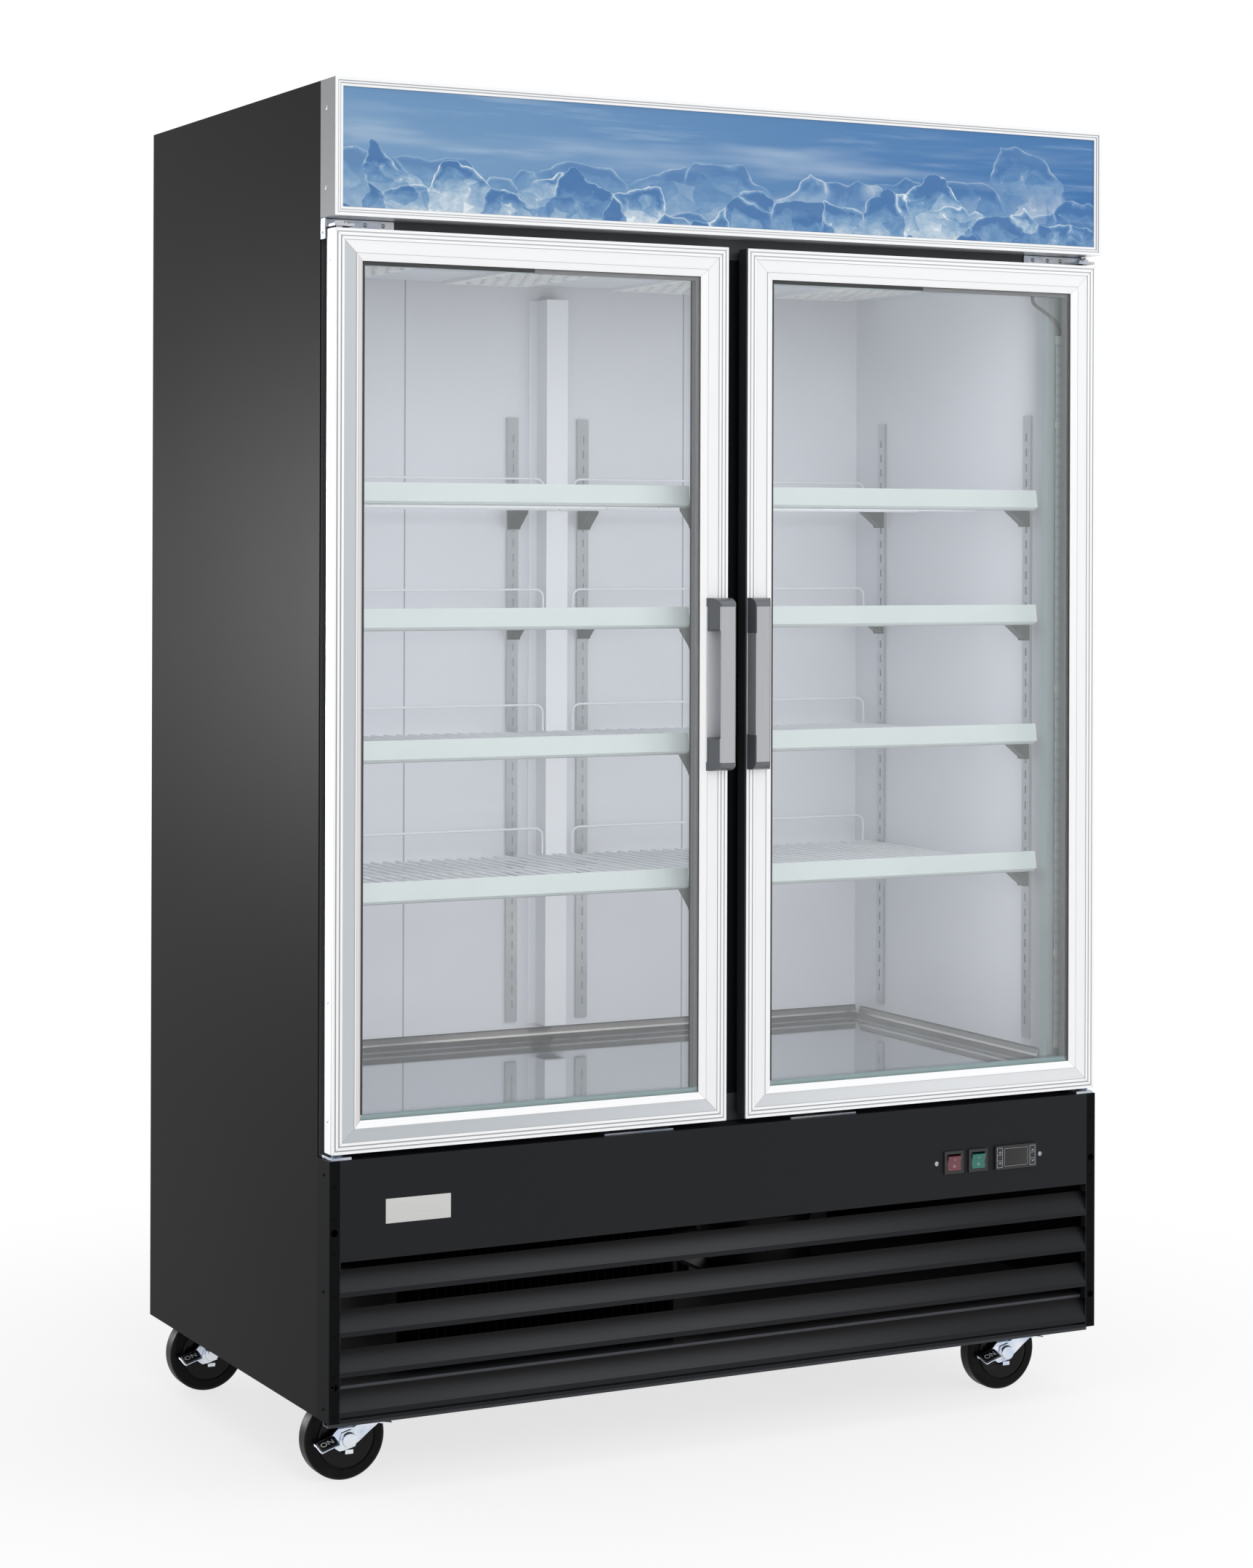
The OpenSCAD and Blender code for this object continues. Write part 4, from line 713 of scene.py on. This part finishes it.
class Shape:
    """A mesh in the making, in millimetres, with y measured back from the door face."""

    def __init__(self):
        self.mesh = bmesh.new()

    def join(self, part, place=Matrix(), edge=0.0, steps=2):
        """Adds part, with its sharp edges rounded by edge, and frees it."""
        if edge:
            bmesh.ops.recalc_face_normals(part, faces=part.faces)
            sharp = [e for e in part.edges if len(e.link_faces) == 2 and e.calc_face_angle() > 0.5]
            bmesh.ops.bevel(part, geom=sharp, offset=edge, segments=steps, profile=0.5,
                            affect="EDGES", clamp_overlap=True)
        part.transform(place)
        held = bpy.data.meshes.new("held")
        part.to_mesh(held)
        self.mesh.from_mesh(held)
        bpy.data.meshes.remove(held)
        part.free()
        return self

    def block(self, x, y, z, edge=0.0, steps=2, place=Matrix()):
        part = bmesh.new()
        middle = [(low + high) / 2 for low, high in (x, y, z)]
        size = [high - low for low, high in (x, y, z)]
        bmesh.ops.create_cube(
            part, size=1, matrix=Matrix.Translation(middle) @ Matrix.Diagonal((*size, 1)))
        return self.join(part, place, edge, steps)

    def prism(self, outline, low, high, edge=0.0, steps=2, place=Matrix()):
        """An (x, z) outline between two depths."""
        part = bmesh.new()
        rings = [[part.verts.new((x, y, z)) for x, z in outline] for y in (low, high)]
        for ring in rings:
            part.faces.new(ring)
        for i in range(len(outline)):
            part.faces.new((rings[0][i - 1], rings[0][i], rings[1][i], rings[1][i - 1]))
        return self.join(part, place, edge, steps)

    def turned(self, profile, centre, axis="Z", steps=48):
        """A closed (radius, height) profile turned round an axis through centre."""
        part = bmesh.new()
        rings = []
        for radius, height in profile:
            count = steps if radius else 1
            angles = [math.tau * i / steps for i in range(count)]
            rings.append([part.verts.new((radius * math.cos(a), radius * math.sin(a), height))
                          for a in angles])
        ends = [] if profile[0][0] == 0 == profile[-1][0] else [(rings[-1], rings[0])]
        for below, above in [*zip(rings, rings[1:]), *ends]:
            for i in range(steps):
                corners = [below[i % len(below)], below[(i + 1) % len(below)],
                           above[(i + 1) % len(above)], above[i % len(above)]]
                corners = list(dict.fromkeys(corners))
                if len(corners) > 2:
                    part.faces.new(corners)
        lean = {"X": Matrix.Rotation(math.pi / 2, 4, "Y"), "Z": Matrix(),
                "Y": Matrix.Rotation(-math.pi / 2, 4, "X")}[axis]
        return self.join(part, Matrix.Translation(centre) @ lean)

    def tube(self, points, radius, sides=12, place=Matrix(), closed=False):
        """A round bar through the points."""
        part = bmesh.new()
        points = [Vector(p) for p in points]
        count = len(points)
        rings, side = [], None
        for i, point in enumerate(points):
            ahead = points[(i + 1) % count] if closed or i < count - 1 else point
            behind = points[i - 1] if closed or i else point
            along = (ahead - behind).normalized()
            side = along.orthogonal() if side is None else side
            side = (side - along * side.dot(along)).normalized()
            over = along.cross(side)
            angles = [math.tau * k / sides for k in range(sides)]
            rings.append([part.verts.new(
                point + radius * (math.cos(a) * side + math.sin(a) * over)) for a in angles])
        links = [*zip(rings, rings[1:])] + ([(rings[-1], rings[0])] if closed else [])
        for near, far in links:
            for k in range(sides):
                part.faces.new((near[k - 1], near[k], far[k], far[k - 1]))
        if not closed:
            part.faces.new(rings[0])
            part.faces.new(rings[-1])
        return self.join(part, place)

    def sheet(self, grid, thick, place=Matrix(), levels=2):
        """A bent sheet through a grid of points, with rounded rims."""
        wide = len(grid[0])
        mesh = bpy.data.meshes.new("held")
        mesh.from_pydata([p for line in grid for p in line], [], [
            (r * wide + c, r * wide + c + 1, (r + 1) * wide + c + 1, (r + 1) * wide + c)
            for r in range(len(grid) - 1) for c in range(wide - 1)])
        held = as_object("held", mesh)
        wall = held.modifiers.new("wall", "SOLIDIFY")
        wall.thickness, wall.offset = thick, 0
        smooth = held.modifiers.new("smooth", "SUBSURF")
        smooth.levels = smooth.render_levels = levels
        part = bmesh.new()
        part.from_mesh(settle(held))
        bpy.data.objects.remove(held)
        return self.join(part, place)

    def letters(self, words, size, place, deep=0.1):
        """Upright letters in the (x, z) plane, facing the front."""
        text = bpy.data.curves.new("held", "FONT")
        text.body, text.size, text.extrude = words, size, deep
        text.align_x, text.align_y = "CENTER", "CENTER"
        text.resolution_u = 3
        held = as_object("held", text)
        part = bmesh.new()
        graph = bpy.context.evaluated_depsgraph_get()
        part.from_mesh(bpy.data.meshes.new_from_object(held.evaluated_get(graph)))
        bmesh.ops.remove_doubles(part, verts=part.verts, dist=1e-5)
        bpy.data.objects.remove(held)
        return self.join(part, place @ Matrix.Rotation(math.pi / 2, 4, "X"))

    def done(self, name, finish, body, slot, *stands_for):
        """Closes the mesh and hangs it as a piece."""
        bmesh.ops.recalc_face_normals(self.mesh, faces=self.mesh.faces)
        self.mesh.transform(TO_ROW)
        mesh = bpy.data.meshes.new(name)
        self.mesh.to_mesh(mesh)
        self.mesh.free()
        mesh.shade_smooth()
        mesh.set_sharp_from_angle(angle=math.radians(38))
        return hang(as_object(name, mesh), finish, body, slot, *stands_for)


# ---- Screws and bolts ------------------------------------------------------------------

def fastener_tree():
    """Screw or bolt heads on points, each turned to its point's facing."""
    tree = bpy.data.node_groups.new("fastener_heads", "GeometryNodeTree")
    g = Graph(tree)
    for name, kind in (("Points", "Geometry"), ("Head radius", "Float"), ("Head height", "Float"),
                       ("Sides", "Int"), ("Recess width", "Float"), ("Finish", "Material")):
        tree.interface.new_socket(name=name, in_out="INPUT", socket_type="NodeSocket" + kind)
    tree.interface.new_socket(name="Heads", in_out="OUTPUT", socket_type="NodeSocketGeometry")
    given = tree.nodes.new("NodeGroupInput")
    points, radius, height, sides, recess, finish = [Socket(g, out) for out in given.outputs[:6]]
    base = g.node("GeometryNodeMeshCone", None, sides, Radius_Top=radius * 0.86,
                  Radius_Bottom=radius, Depth=height * 0.6)
    crown = g.node("GeometryNodeMeshCone", None, sides, Radius_Top=radius * 0.45,
                   Radius_Bottom=radius * 0.86, Depth=height * 0.4)
    lift = g.node("ShaderNodeCombineXYZ", None, 0.0, 0.0, height * 0.6)
    crown = g.node("GeometryNodeTransform", None, crown, Translation=lift)
    head = g.node("GeometryNodeJoinGeometry")
    tree.links.new(base.out, head.out.node.inputs[0])
    tree.links.new(crown.out, head.out.node.inputs[0])
    head = g.node("GeometryNodeMergeByDistance", None, head, Distance=0.00001)
    bars = []
    for across in (True, False):
        reach, slim = radius * 1.25, recess * radius
        length, width = (reach, slim) if across else (slim, reach)
        size = g.node("ShaderNodeCombineXYZ", None, length, width, height)
        bar = g.node("GeometryNodeMeshCube", None, size)
        up = g.node("ShaderNodeCombineXYZ", None, 0.0, 0.0, height * 1.0)
        bars.append(g.node("GeometryNodeTransform", None, bar, Translation=up))
    cut = g.node("GeometryNodeMeshBoolean", {"operation": "DIFFERENCE"})
    tree.links.new(head.out, cut.out.node.inputs[0])
    for bar in bars:
        tree.links.new(bar.out, cut.out.node.inputs[1])
    head = g.node("GeometryNodeSwitch", {"input_type": "GEOMETRY"}, recess > 0.01, head, cut)
    facing = g.node("GeometryNodeInputNamedAttribute", {"data_type": "FLOAT_VECTOR"}, "facing")
    turn = g.node("FunctionNodeAlignRotationToVector", {"axis": "Z"}, Vector=facing)
    spin = g.node("FunctionNodeRandomValue", {"data_type": "FLOAT"}, None, None, 0.0, math.pi,
                  out=1, Seed=7)
    spin = g.node("ShaderNodeCombineXYZ", None, 0.0, 0.0, spin)
    spin = g.node("FunctionNodeEulerToRotation", None, spin)
    turn = g.node("FunctionNodeRotateRotation", {"rotation_space": "LOCAL"}, turn, spin)
    heads = g.node("GeometryNodeInstanceOnPoints", None, points, Instance=head, Rotation=turn)
    heads = g.node("GeometryNodeRealizeInstances", None, heads)
    heads = g.node("GeometryNodeSetMaterial", None, heads, Material=finish)
    g.node("NodeGroupOutput", None, heads, out=None)
    return tree


def grown(name, points, facings, tree, values):
    """The plain mesh that a tree grows on points, its inputs set by their identifiers."""
    mesh = bpy.data.meshes.new(name)
    mesh.from_pydata(points, [], [])
    facing = mesh.attributes.new("facing", "FLOAT_VECTOR", "POINT")
    for spot, way in zip(facing.data, facings):
        spot.vector = way
    piece = as_object(name, mesh)
    grow = piece.modifiers.new("grow", "NODES")
    grow.node_group = tree
    for item in tree.interface.items_tree:
        if item.in_out == "INPUT" and item.name in values:
            grow[item.identifier] = values[item.name]
    settle(piece)
    piece.data.name = name
    return piece


surfaces = {}


def on(node, point, way):
    """Where a line from outside first meets a CAD node, as a point and the way it faces."""
    if node not in surfaces:
        mesh = nodes[node].data
        surfaces[node] = BVHTree.FromPolygons(
            [v.co for v in mesh.vertices], [p.vertices for p in mesh.polygons])
    way = Vector(way)
    hit = surfaces[node].ray_cast(row(*point) + way * 0.08, -way)[0]
    if hit is None:
        raise ValueError(f"nothing of {node} under the fastener at {point}")
    return hit, way


def fasteners(name, spots, finish, body, slot, radius, height, sides=20, recess=0.28):
    """One piece with a head on every spot, a spot being a point and the way it faces."""
    piece = grown(name, [s[0] for s in spots], [s[1] for s in spots], heads_tree, {
        "Head radius": radius * MM, "Head height": height * MM, "Sides": sides,
        "Recess width": recess, "Finish": finish.material})
    return hang(piece, finish, body, slot)


# ---- Fasteners over the whole cabinet --------------------------------------------------

def cabinet_fasteners(zinc, black):
    """Screws and bolts of the fixed cabinet, each group set on the faces it holds."""
    sides = (-1, 1)
    front, back, under = (0, -1, 0), (0, 1, 0), (0, 0, -1)
    posts = [on("corner_posts", (s * 665, 0, z), front)
             for s in sides for z in (456, 407, 359, 296, 238, 180, 122)]
    posts += [on("corner_posts", (s * 673, 23, z), (s, 0, 0))
              for s in sides for z in (470, 300, 130)]
    fasteners("corner_post_screws", posts, black, "cabinet", "post_black", 2.9, 1.3)
    bright = [on("header_frame", (s * 673, y, z), (s, 0, 0))
              for s in sides for y, z in ((22.6, 2016), (24.7, 1900))]
    bright += [on("hinge_brackets", (s * x, 43, 1850.5), front)
               for s in sides for x in (629, 604, 575)]
    bright += [on("hinge_brackets", (s * 672.7, 38, 1836), (s, 0, 0)) for s in sides]
    fasteners("trim_screws", bright, zinc, "cabinet", "hinge_zinc", 3.2, 1.5)
    beside = [on("base_panel", (x, 0, CONTROL_HEIGHT), front) for x in (366.5, 564)]
    fasteners("control_screws", beside, zinc, "cabinet", "hinge_zinc", 4.0, 2.4)
    shell = [on("back_panel", (x, 767, z), back)
             for x in (-655, -330, 0, 330, 655) for z in (560, 915, 1270, 1625, 1980)]
    shell += [on("top_panel", (x, y, 2050), (0, 0, 1))
              for x in (-640, 0, 640) for y in (120, 430, 730)]
    fasteners("casing_screws", shell, black, "cabinet", "black_sheet", 3.6, 1.5)
    bolts = [(row(x + s * 40, y + t * 30, 156.5), under)
             for x, y in CASTERS.values() for s in sides for t in sides]
    fasteners("caster_bolts", bolts, zinc, "cabinet", "zinc", 8.2, 5.0, 6, 0.0)


# ---- Doors -----------------------------------------------------------------------------

def door_screws(zinc, side, s):
    """Screws in the outer side of one door; s is -1 for the left door."""
    body = side + "_door"
    spots = [on(body + "_frame", (s * 669.7, 16.7, z), (s, 0, 0)) for z in (1794, 1620, 720, 548)]
    fasteners(side + "_door_screws", spots, zinc, body, "hinge_zinc", 2.6, 0.9)


# ---- Name plate and controls -----------------------------------------------------------

def name_plate(steel):
    """The blank plate at the left of the base."""
    Shape().block((-585, -481), (-1.1, 0), (395, 431), 0.45, 3).done(
        "blank_name_plate", steel, "cabinet", "grip_steel")


def rocker_face(middle, s):
    """Where one sloping half of a rocker lies; s is 1 for the upper half."""
    lean = math.radians(8)
    slope = math.atan2(2.5, 11.5)
    return (Matrix.Translation((middle, 4, CONTROL_HEIGHT)) @ Matrix.Rotation(lean, 4, "X")
            @ Matrix.Translation((0, -8.25, s * 5.75)) @ Matrix.Rotation(s * slope, 4, "X"))


def rocker_details(name, middle, lens, ink):
    """Fine moulded ribs over both halves of a rocker, with its I and O marks."""
    ribs, marks = Shape(), Shape()
    for s in (-1, 1):
        face = rocker_face(middle, s)
        for i in range(15):
            x = (i - 7) * 1.5
            ribs.block((x - 0.32, x + 0.32), (-0.28, 0.2), (-5.3, 5.3), 0.12, 1, face)
    marks.block((-0.35, 0.35), (-0.42, 0), (-1.9, 1.9), 0.1, 1, rocker_face(middle, 1))
    ring = [(x, -0.3, z + 0.8) for x, z in circle(1.9, 24)]
    marks.tube(ring, 0.32, 8, rocker_face(middle, -1), closed=True)
    ribs.done(name + "_ribs", lens, name, "rocker_" + name.split("_")[0])
    marks.done(name + "_marks", ink, name, "fitting_white")


def outlined(lines, across, up, front, wide=0.45):
    """A thin printed rectangle between two x and two z values."""
    (x0, x1), (low, high) = across, up
    for x, z in ((across, (low, low + wide)), (across, (high - wide, high)),
                 ((x0, x0 + wide), up), ((x1 - wide, x1), up)):
        lines.block(x, (front - 0.08, front + 0.05), z)


def thermostat_details(smoked, ink):
    """Smoked display and printed outlines of the thermostat, with the signs on its keys."""
    mid, z0, front = 516, CONTROL_HEIGHT, -4.0
    Shape().block((mid - 20.7, mid + 20.7), (front - 0.05, front + 0.75), (z0 - 12.7, z0 + 12.7),
                  0.25, 2).done("thermostat_window", smoked, "cabinet", "control_black")
    lines = Shape()
    for s in (-1, 1):
        x = mid + s * 31.5
        outlined(lines, (x - 5.2, x + 5.2), (z0 - 15.8, z0 + 15.8), front)
        for z in (z0 - 4.6, z0 + 4.6):
            lines.block((x - 5.2, x + 5.2), (front - 0.08, front + 0.05), (z - 0.2, z + 0.2))
    outlined(lines, (mid - 22.2, mid + 22.2), (z0 - 14.2, z0 + 14.2), front, 0.3)
    lines.done("thermostat_outlines", ink, "cabinet", "fitting_white")
    for body, sign in (("set_button", "SET"), ("defrost_button", "sun"),
                       ("up_button", "up"), ("down_button", "down")):
        key_sign(body, sign, ink)


def key_sign(body, sign, ink):
    """The letters, sun or arrow on the front of one key."""
    low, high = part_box(body)
    x, z = (low.x + high.x) * 500, (low.z + high.z) * 500
    y = low.y / MM + DOOR_FACE
    mark = Shape()
    if sign == "SET":
        mark.letters("SET", 3.4, Matrix.Translation((x, y, z)), 0.1)
    elif sign == "sun":
        mark.tube([(x + a, y, z + b) for a, b in circle(1.2, 16)], 0.2, 6, closed=True)
        for i in range(8):
            turn = Matrix.Translation((x, 0, z)) @ Matrix.Rotation(math.tau * i / 8, 4, "Y")
            mark.block((-0.15, 0.15), (y - 0.12, y + 0.05), (1.6, 2.3), 0, 0, turn)
    else:
        s = 1 if sign == "up" else -1
        arrow = [(-2.2, -1.0), (0, 1.3), (2.2, -1.0), (1.5, -1.3), (0, 0.3), (-1.5, -1.3)]
        mark.prism([(x + a, z + s * b) for a, b in arrow], y - 0.12, y + 0.05)
    mark.done(body + "_mark", ink, body, "fitting_white")


# ---- Casters ---------------------------------------------------------------------------

def pad(middle, lean, along, out, droop):
    """Grid and place of a pedal pad, bent out of the lever's top edge with a rolled rim."""
    half = along / 2
    steps = [(0.0, -7.0, 0.62), (0.0, -3.5, 0.80), (-0.6, -1.2, 0.92), (-2.6, 0.0, 1.0),
             (-8.0, 0.4, 1.0), (-16.0, 0.3, 1.0), (-out + 2.2, 0.0, 0.99), (-out, -0.7, 0.86)]
    grid = []
    for y, z, wide in steps:
        grid.append([(half * wide * u, y, z - 0.9 * abs(u) ** 3 + droop * min(y, 0))
                     for u in (-1.0, -0.86, -0.5, 0.0, 0.5, 0.86, 1.0)])
    place = Matrix.Translation(middle) @ Matrix.Rotation(math.radians(lean), 4, "Y")
    return grid, place


def brake_lever(place, zinc, black, ink):
    """Gull-winged lever on the axle with its two pads, and the dark ON inlay."""
    x0, y0 = CASTERS[place]
    x, y, z = x0 - TRAIL, y0 - 25.1, AXLE
    lever = Shape()
    outline = [(-54, -1), (-53, -5), (-45, -8.2), (-36, -11), (-28, -6.2), (-23, -9.5),
               (-19, -13), (-13, -17), (-5, -16.2), (2, -14), (9, -10.4), (17, -6), (26, 0.8),
               (35, 8), (42, 12.8), (48, 17), (50, 24), (38, 26.2), (26, 28), (18, 21.5),
               (10, 17), (-3, 17.6), (-16, 17), (-20.5, 13), (-24, 9), (-30, 5.2), (-36, 2),
               (-45, 0.2)]
    lever.prism([(x + a, z + b) for a, b in outline], y, y + 3.0, 0.8, 3)
    # The ON pad droops outwards, the other one is level
    on_middle, on_lean, on_droop = (x - 39, y + 1.4, z + 4.4), -17, 0.40
    for middle, lean, along, droop in ((on_middle, on_lean, 33, on_droop),
                                       ((x + 45, y + 1.4, z + 25.4), 8, 36, 0.0)):
        grid, at = pad(middle, lean, along, 24, droop)
        lever.sheet(grid, 2.4, at)
    lever.done("brake_lever_" + place, zinc, "brake_" + place, "zinc", "brake_" + place)
    at = (Matrix.Translation(on_middle) @ Matrix.Rotation(math.radians(on_lean), 4, "Y")
          @ Matrix.Rotation(math.atan(on_droop), 4, "X"))
    inlay = Shape()
    inlay.block((-13.2, 13.4), (-23.2, -5.0), (0.9, 1.75), 0.35, 2, at)
    inlay.done("pad_inlay_" + place, black, "brake_" + place, "wheel_black")
    words = Shape()
    flat = at @ Matrix.Translation((0, -14.2, 1.8)) @ Matrix.Rotation(-math.pi / 2, 4, "X")
    words.letters("ON", 13.5, flat, 0.18)
    words.done("pad_letters_" + place, ink, "brake_" + place, "zinc")


def caster_details(place, zinc, gloss):
    """Axle bolt and pressed panel of a fork, and the dished hub faces of its wheel."""
    x0, y0 = CASTERS[place]
    x, z = x0 - TRAIL, AXLE
    # Round bolt head over a six-sided washer, and the nut at the far end
    bolt = Shape()
    head = [(0, 0), (11.2, 0), (11.6, -0.6), (11.6, -4.0), (11.0, -5.6), (9.4, -6.5), (5, -6.9),
            (0, -7.0)]
    bolt.turned(head, (x, y0 - 28.3, z), "Y", 40)
    washer = [(x + a, z + b) for a, b in circle(15.2, 6, 0.25)]
    bolt.prism(washer, y0 - 28.4, y0 - 25.6, 0.6, 2)
    nut = [(x + a, z + b) for a, b in circle(10.4, 6)]
    bolt.prism(nut, y0 + 21.4, y0 + 29.8, 0.8, 2)
    # Pressed panel on the front leg, and its stop
    bolt.prism([(x + 3, z + 20), (x + 20, z + 20), (x + 20, z + 78), (x + 3, z + 78)],
               y0 - 22.9, y0 - 21.3, 0.7, 3)
    bolt.block((x - 14, x - 1), (y0 - 22.3, y0 - 21.3), (z + 20, z + 78), 0.4, 2)
    bolt.block((x - 4, x + 9), (y0 - 24.8, y0 - 21.3), (z - 22.5, z - 16), 0.8, 2)
    bolt.done("axle_bolt_" + place, zinc, "fork_" + place, "zinc")
    dish = Shape()
    profile = [(14.2, 3.2), (16, 3.4), (19, 1.0), (34, 3.0), (39.5, 3.7), (42.0, 3.9),
               (43.4, 3.4), (43.9, 2.4), (43.9, -2.0), (14.2, -2.0)]
    for s in (-1, 1):
        dish.turned([(r, s * (h + 12.9)) for r, h in profile], (x, y0, z), "Y", 72)
    dish.done("wheel_dish_" + place, gloss, "wheel_" + place, "wheel_black")


# ---- Floor and surroundings ------------------------------------------------------------

def seen_by(g, *kinds):
    """1 for the named kinds of ray, 0 for the others."""
    paths = g.node("ShaderNodeLightPath").out.node.outputs
    return sum(Socket(g, paths[f"Is {kind} Ray"]) for kind in kinds).least(1.0)


def white_studio():
    """A white world, dimmer as light than as background, and a floor that fades into it."""
    world = bpy.data.worlds.new("Studio")
    bpy.context.scene.world = world
    world.use_nodes = True
    g = Graph(world.node_tree)
    back = world.node_tree.nodes["Background"]
    g.feed(back.inputs["Color"], (1.0, 1.0, 1.0))
    g.feed(back.inputs["Strength"], seen_by(g, "Camera", "Glossy", "Transmission") * 0.42 + 0.58)

    f = Finish("studio_floor", (0.90, 0.90, 0.90), 0.6)
    x, y, _ = f.axes()
    far = (x * x + y * y) ** 0.5
    fade = far.ease(0.5, 2.0, 0.74, 1.0) * seen_by(f, "Camera", "Glossy")
    glow = f.node("ShaderNodeEmission", None, Color=(1, 1, 1), Strength=1.0)
    out = f.tree.nodes["Material Output"]
    f.feed(out.inputs["Surface"],
           f.node("ShaderNodeMixShader", None, fade, Socket(f, f.shader.outputs[0]), glow))
    half = 25
    mesh = bpy.data.meshes.new("studio_floor")
    mesh.from_pydata([(-half, -half, 0), (half, -half, 0), (half, half, 0), (-half, half, 0)],
                     [], [(0, 1, 2, 3)])
    floor = as_object("studio_floor", mesh)
    floor.data.materials.append(f.material)
    bpy.context.scene.view_settings.view_transform = "Standard"


set_camera()
white_studio()
softbox("key", (-0.6, -4.9, 3.3), (0, 0, 1.1), (3.2, 3.0), 105, False)
softbox("fill", (3.8, -3.4, 2.2), (0, 0, 1.0), (2.6, 3.0), 60, False)
softbox("top", (0.0, -0.6, 4.6), (0, 0, 1.0), (3.0, 2.5), 45)
softbox("side_sheen", (-3.7, 3.9, 1.25), (-0.67, -0.3, 1.28), (1.1, 1.0), 200, True, False)
for s in (-1, 1):
    softbox("cabin_light", row(s * 320, 95, 1170), row(s * 320, 700, 1170), (0.5, 1.24), 2.6, False)
looks = dress_nodes()
heads_tree = fastener_tree()
zinc, screw_zinc = looks["fork_front_left"], looks["hinge_brackets"]
key_print = plastic("key_print", (0.42, 0.44, 0.46), 0.5)
cabinet_fasteners(screw_zinc, looks["corner_posts"])
for side, s in (("left", -1), ("right", 1)):
    door_screws(screw_zinc, side, s)
name_plate(brushed("name_plate_steel", (0.62, 0.62, 0.61), 0.30, (0.015, 1, 1), 1100, 1.0, 0.12))
for name, middle in (("red_rocker", 398), ("green_rocker", 444)):
    rocker_details(name, middle, looks[name], key_print)
thermostat_details(plastic("smoked_window", (0.006, 0.006, 0.007), 0.12), key_print)
wheel_gloss = plastic("wheel_hub_moulding", (0.003, 0.003, 0.0034), 0.24, Specular_IOR_Level=0.18)
inlay_black = plastic("pad_inlay_black", (0.006, 0.006, 0.007), 0.40, Specular_IOR_Level=0.25)
pad_print = plastic("pad_letters", (0.62, 0.63, 0.65), 0.4)
for place in CASTERS:
    brake_lever(place, zinc, inlay_black, pad_print)
    caster_details(place, zinc, wheel_gloss)
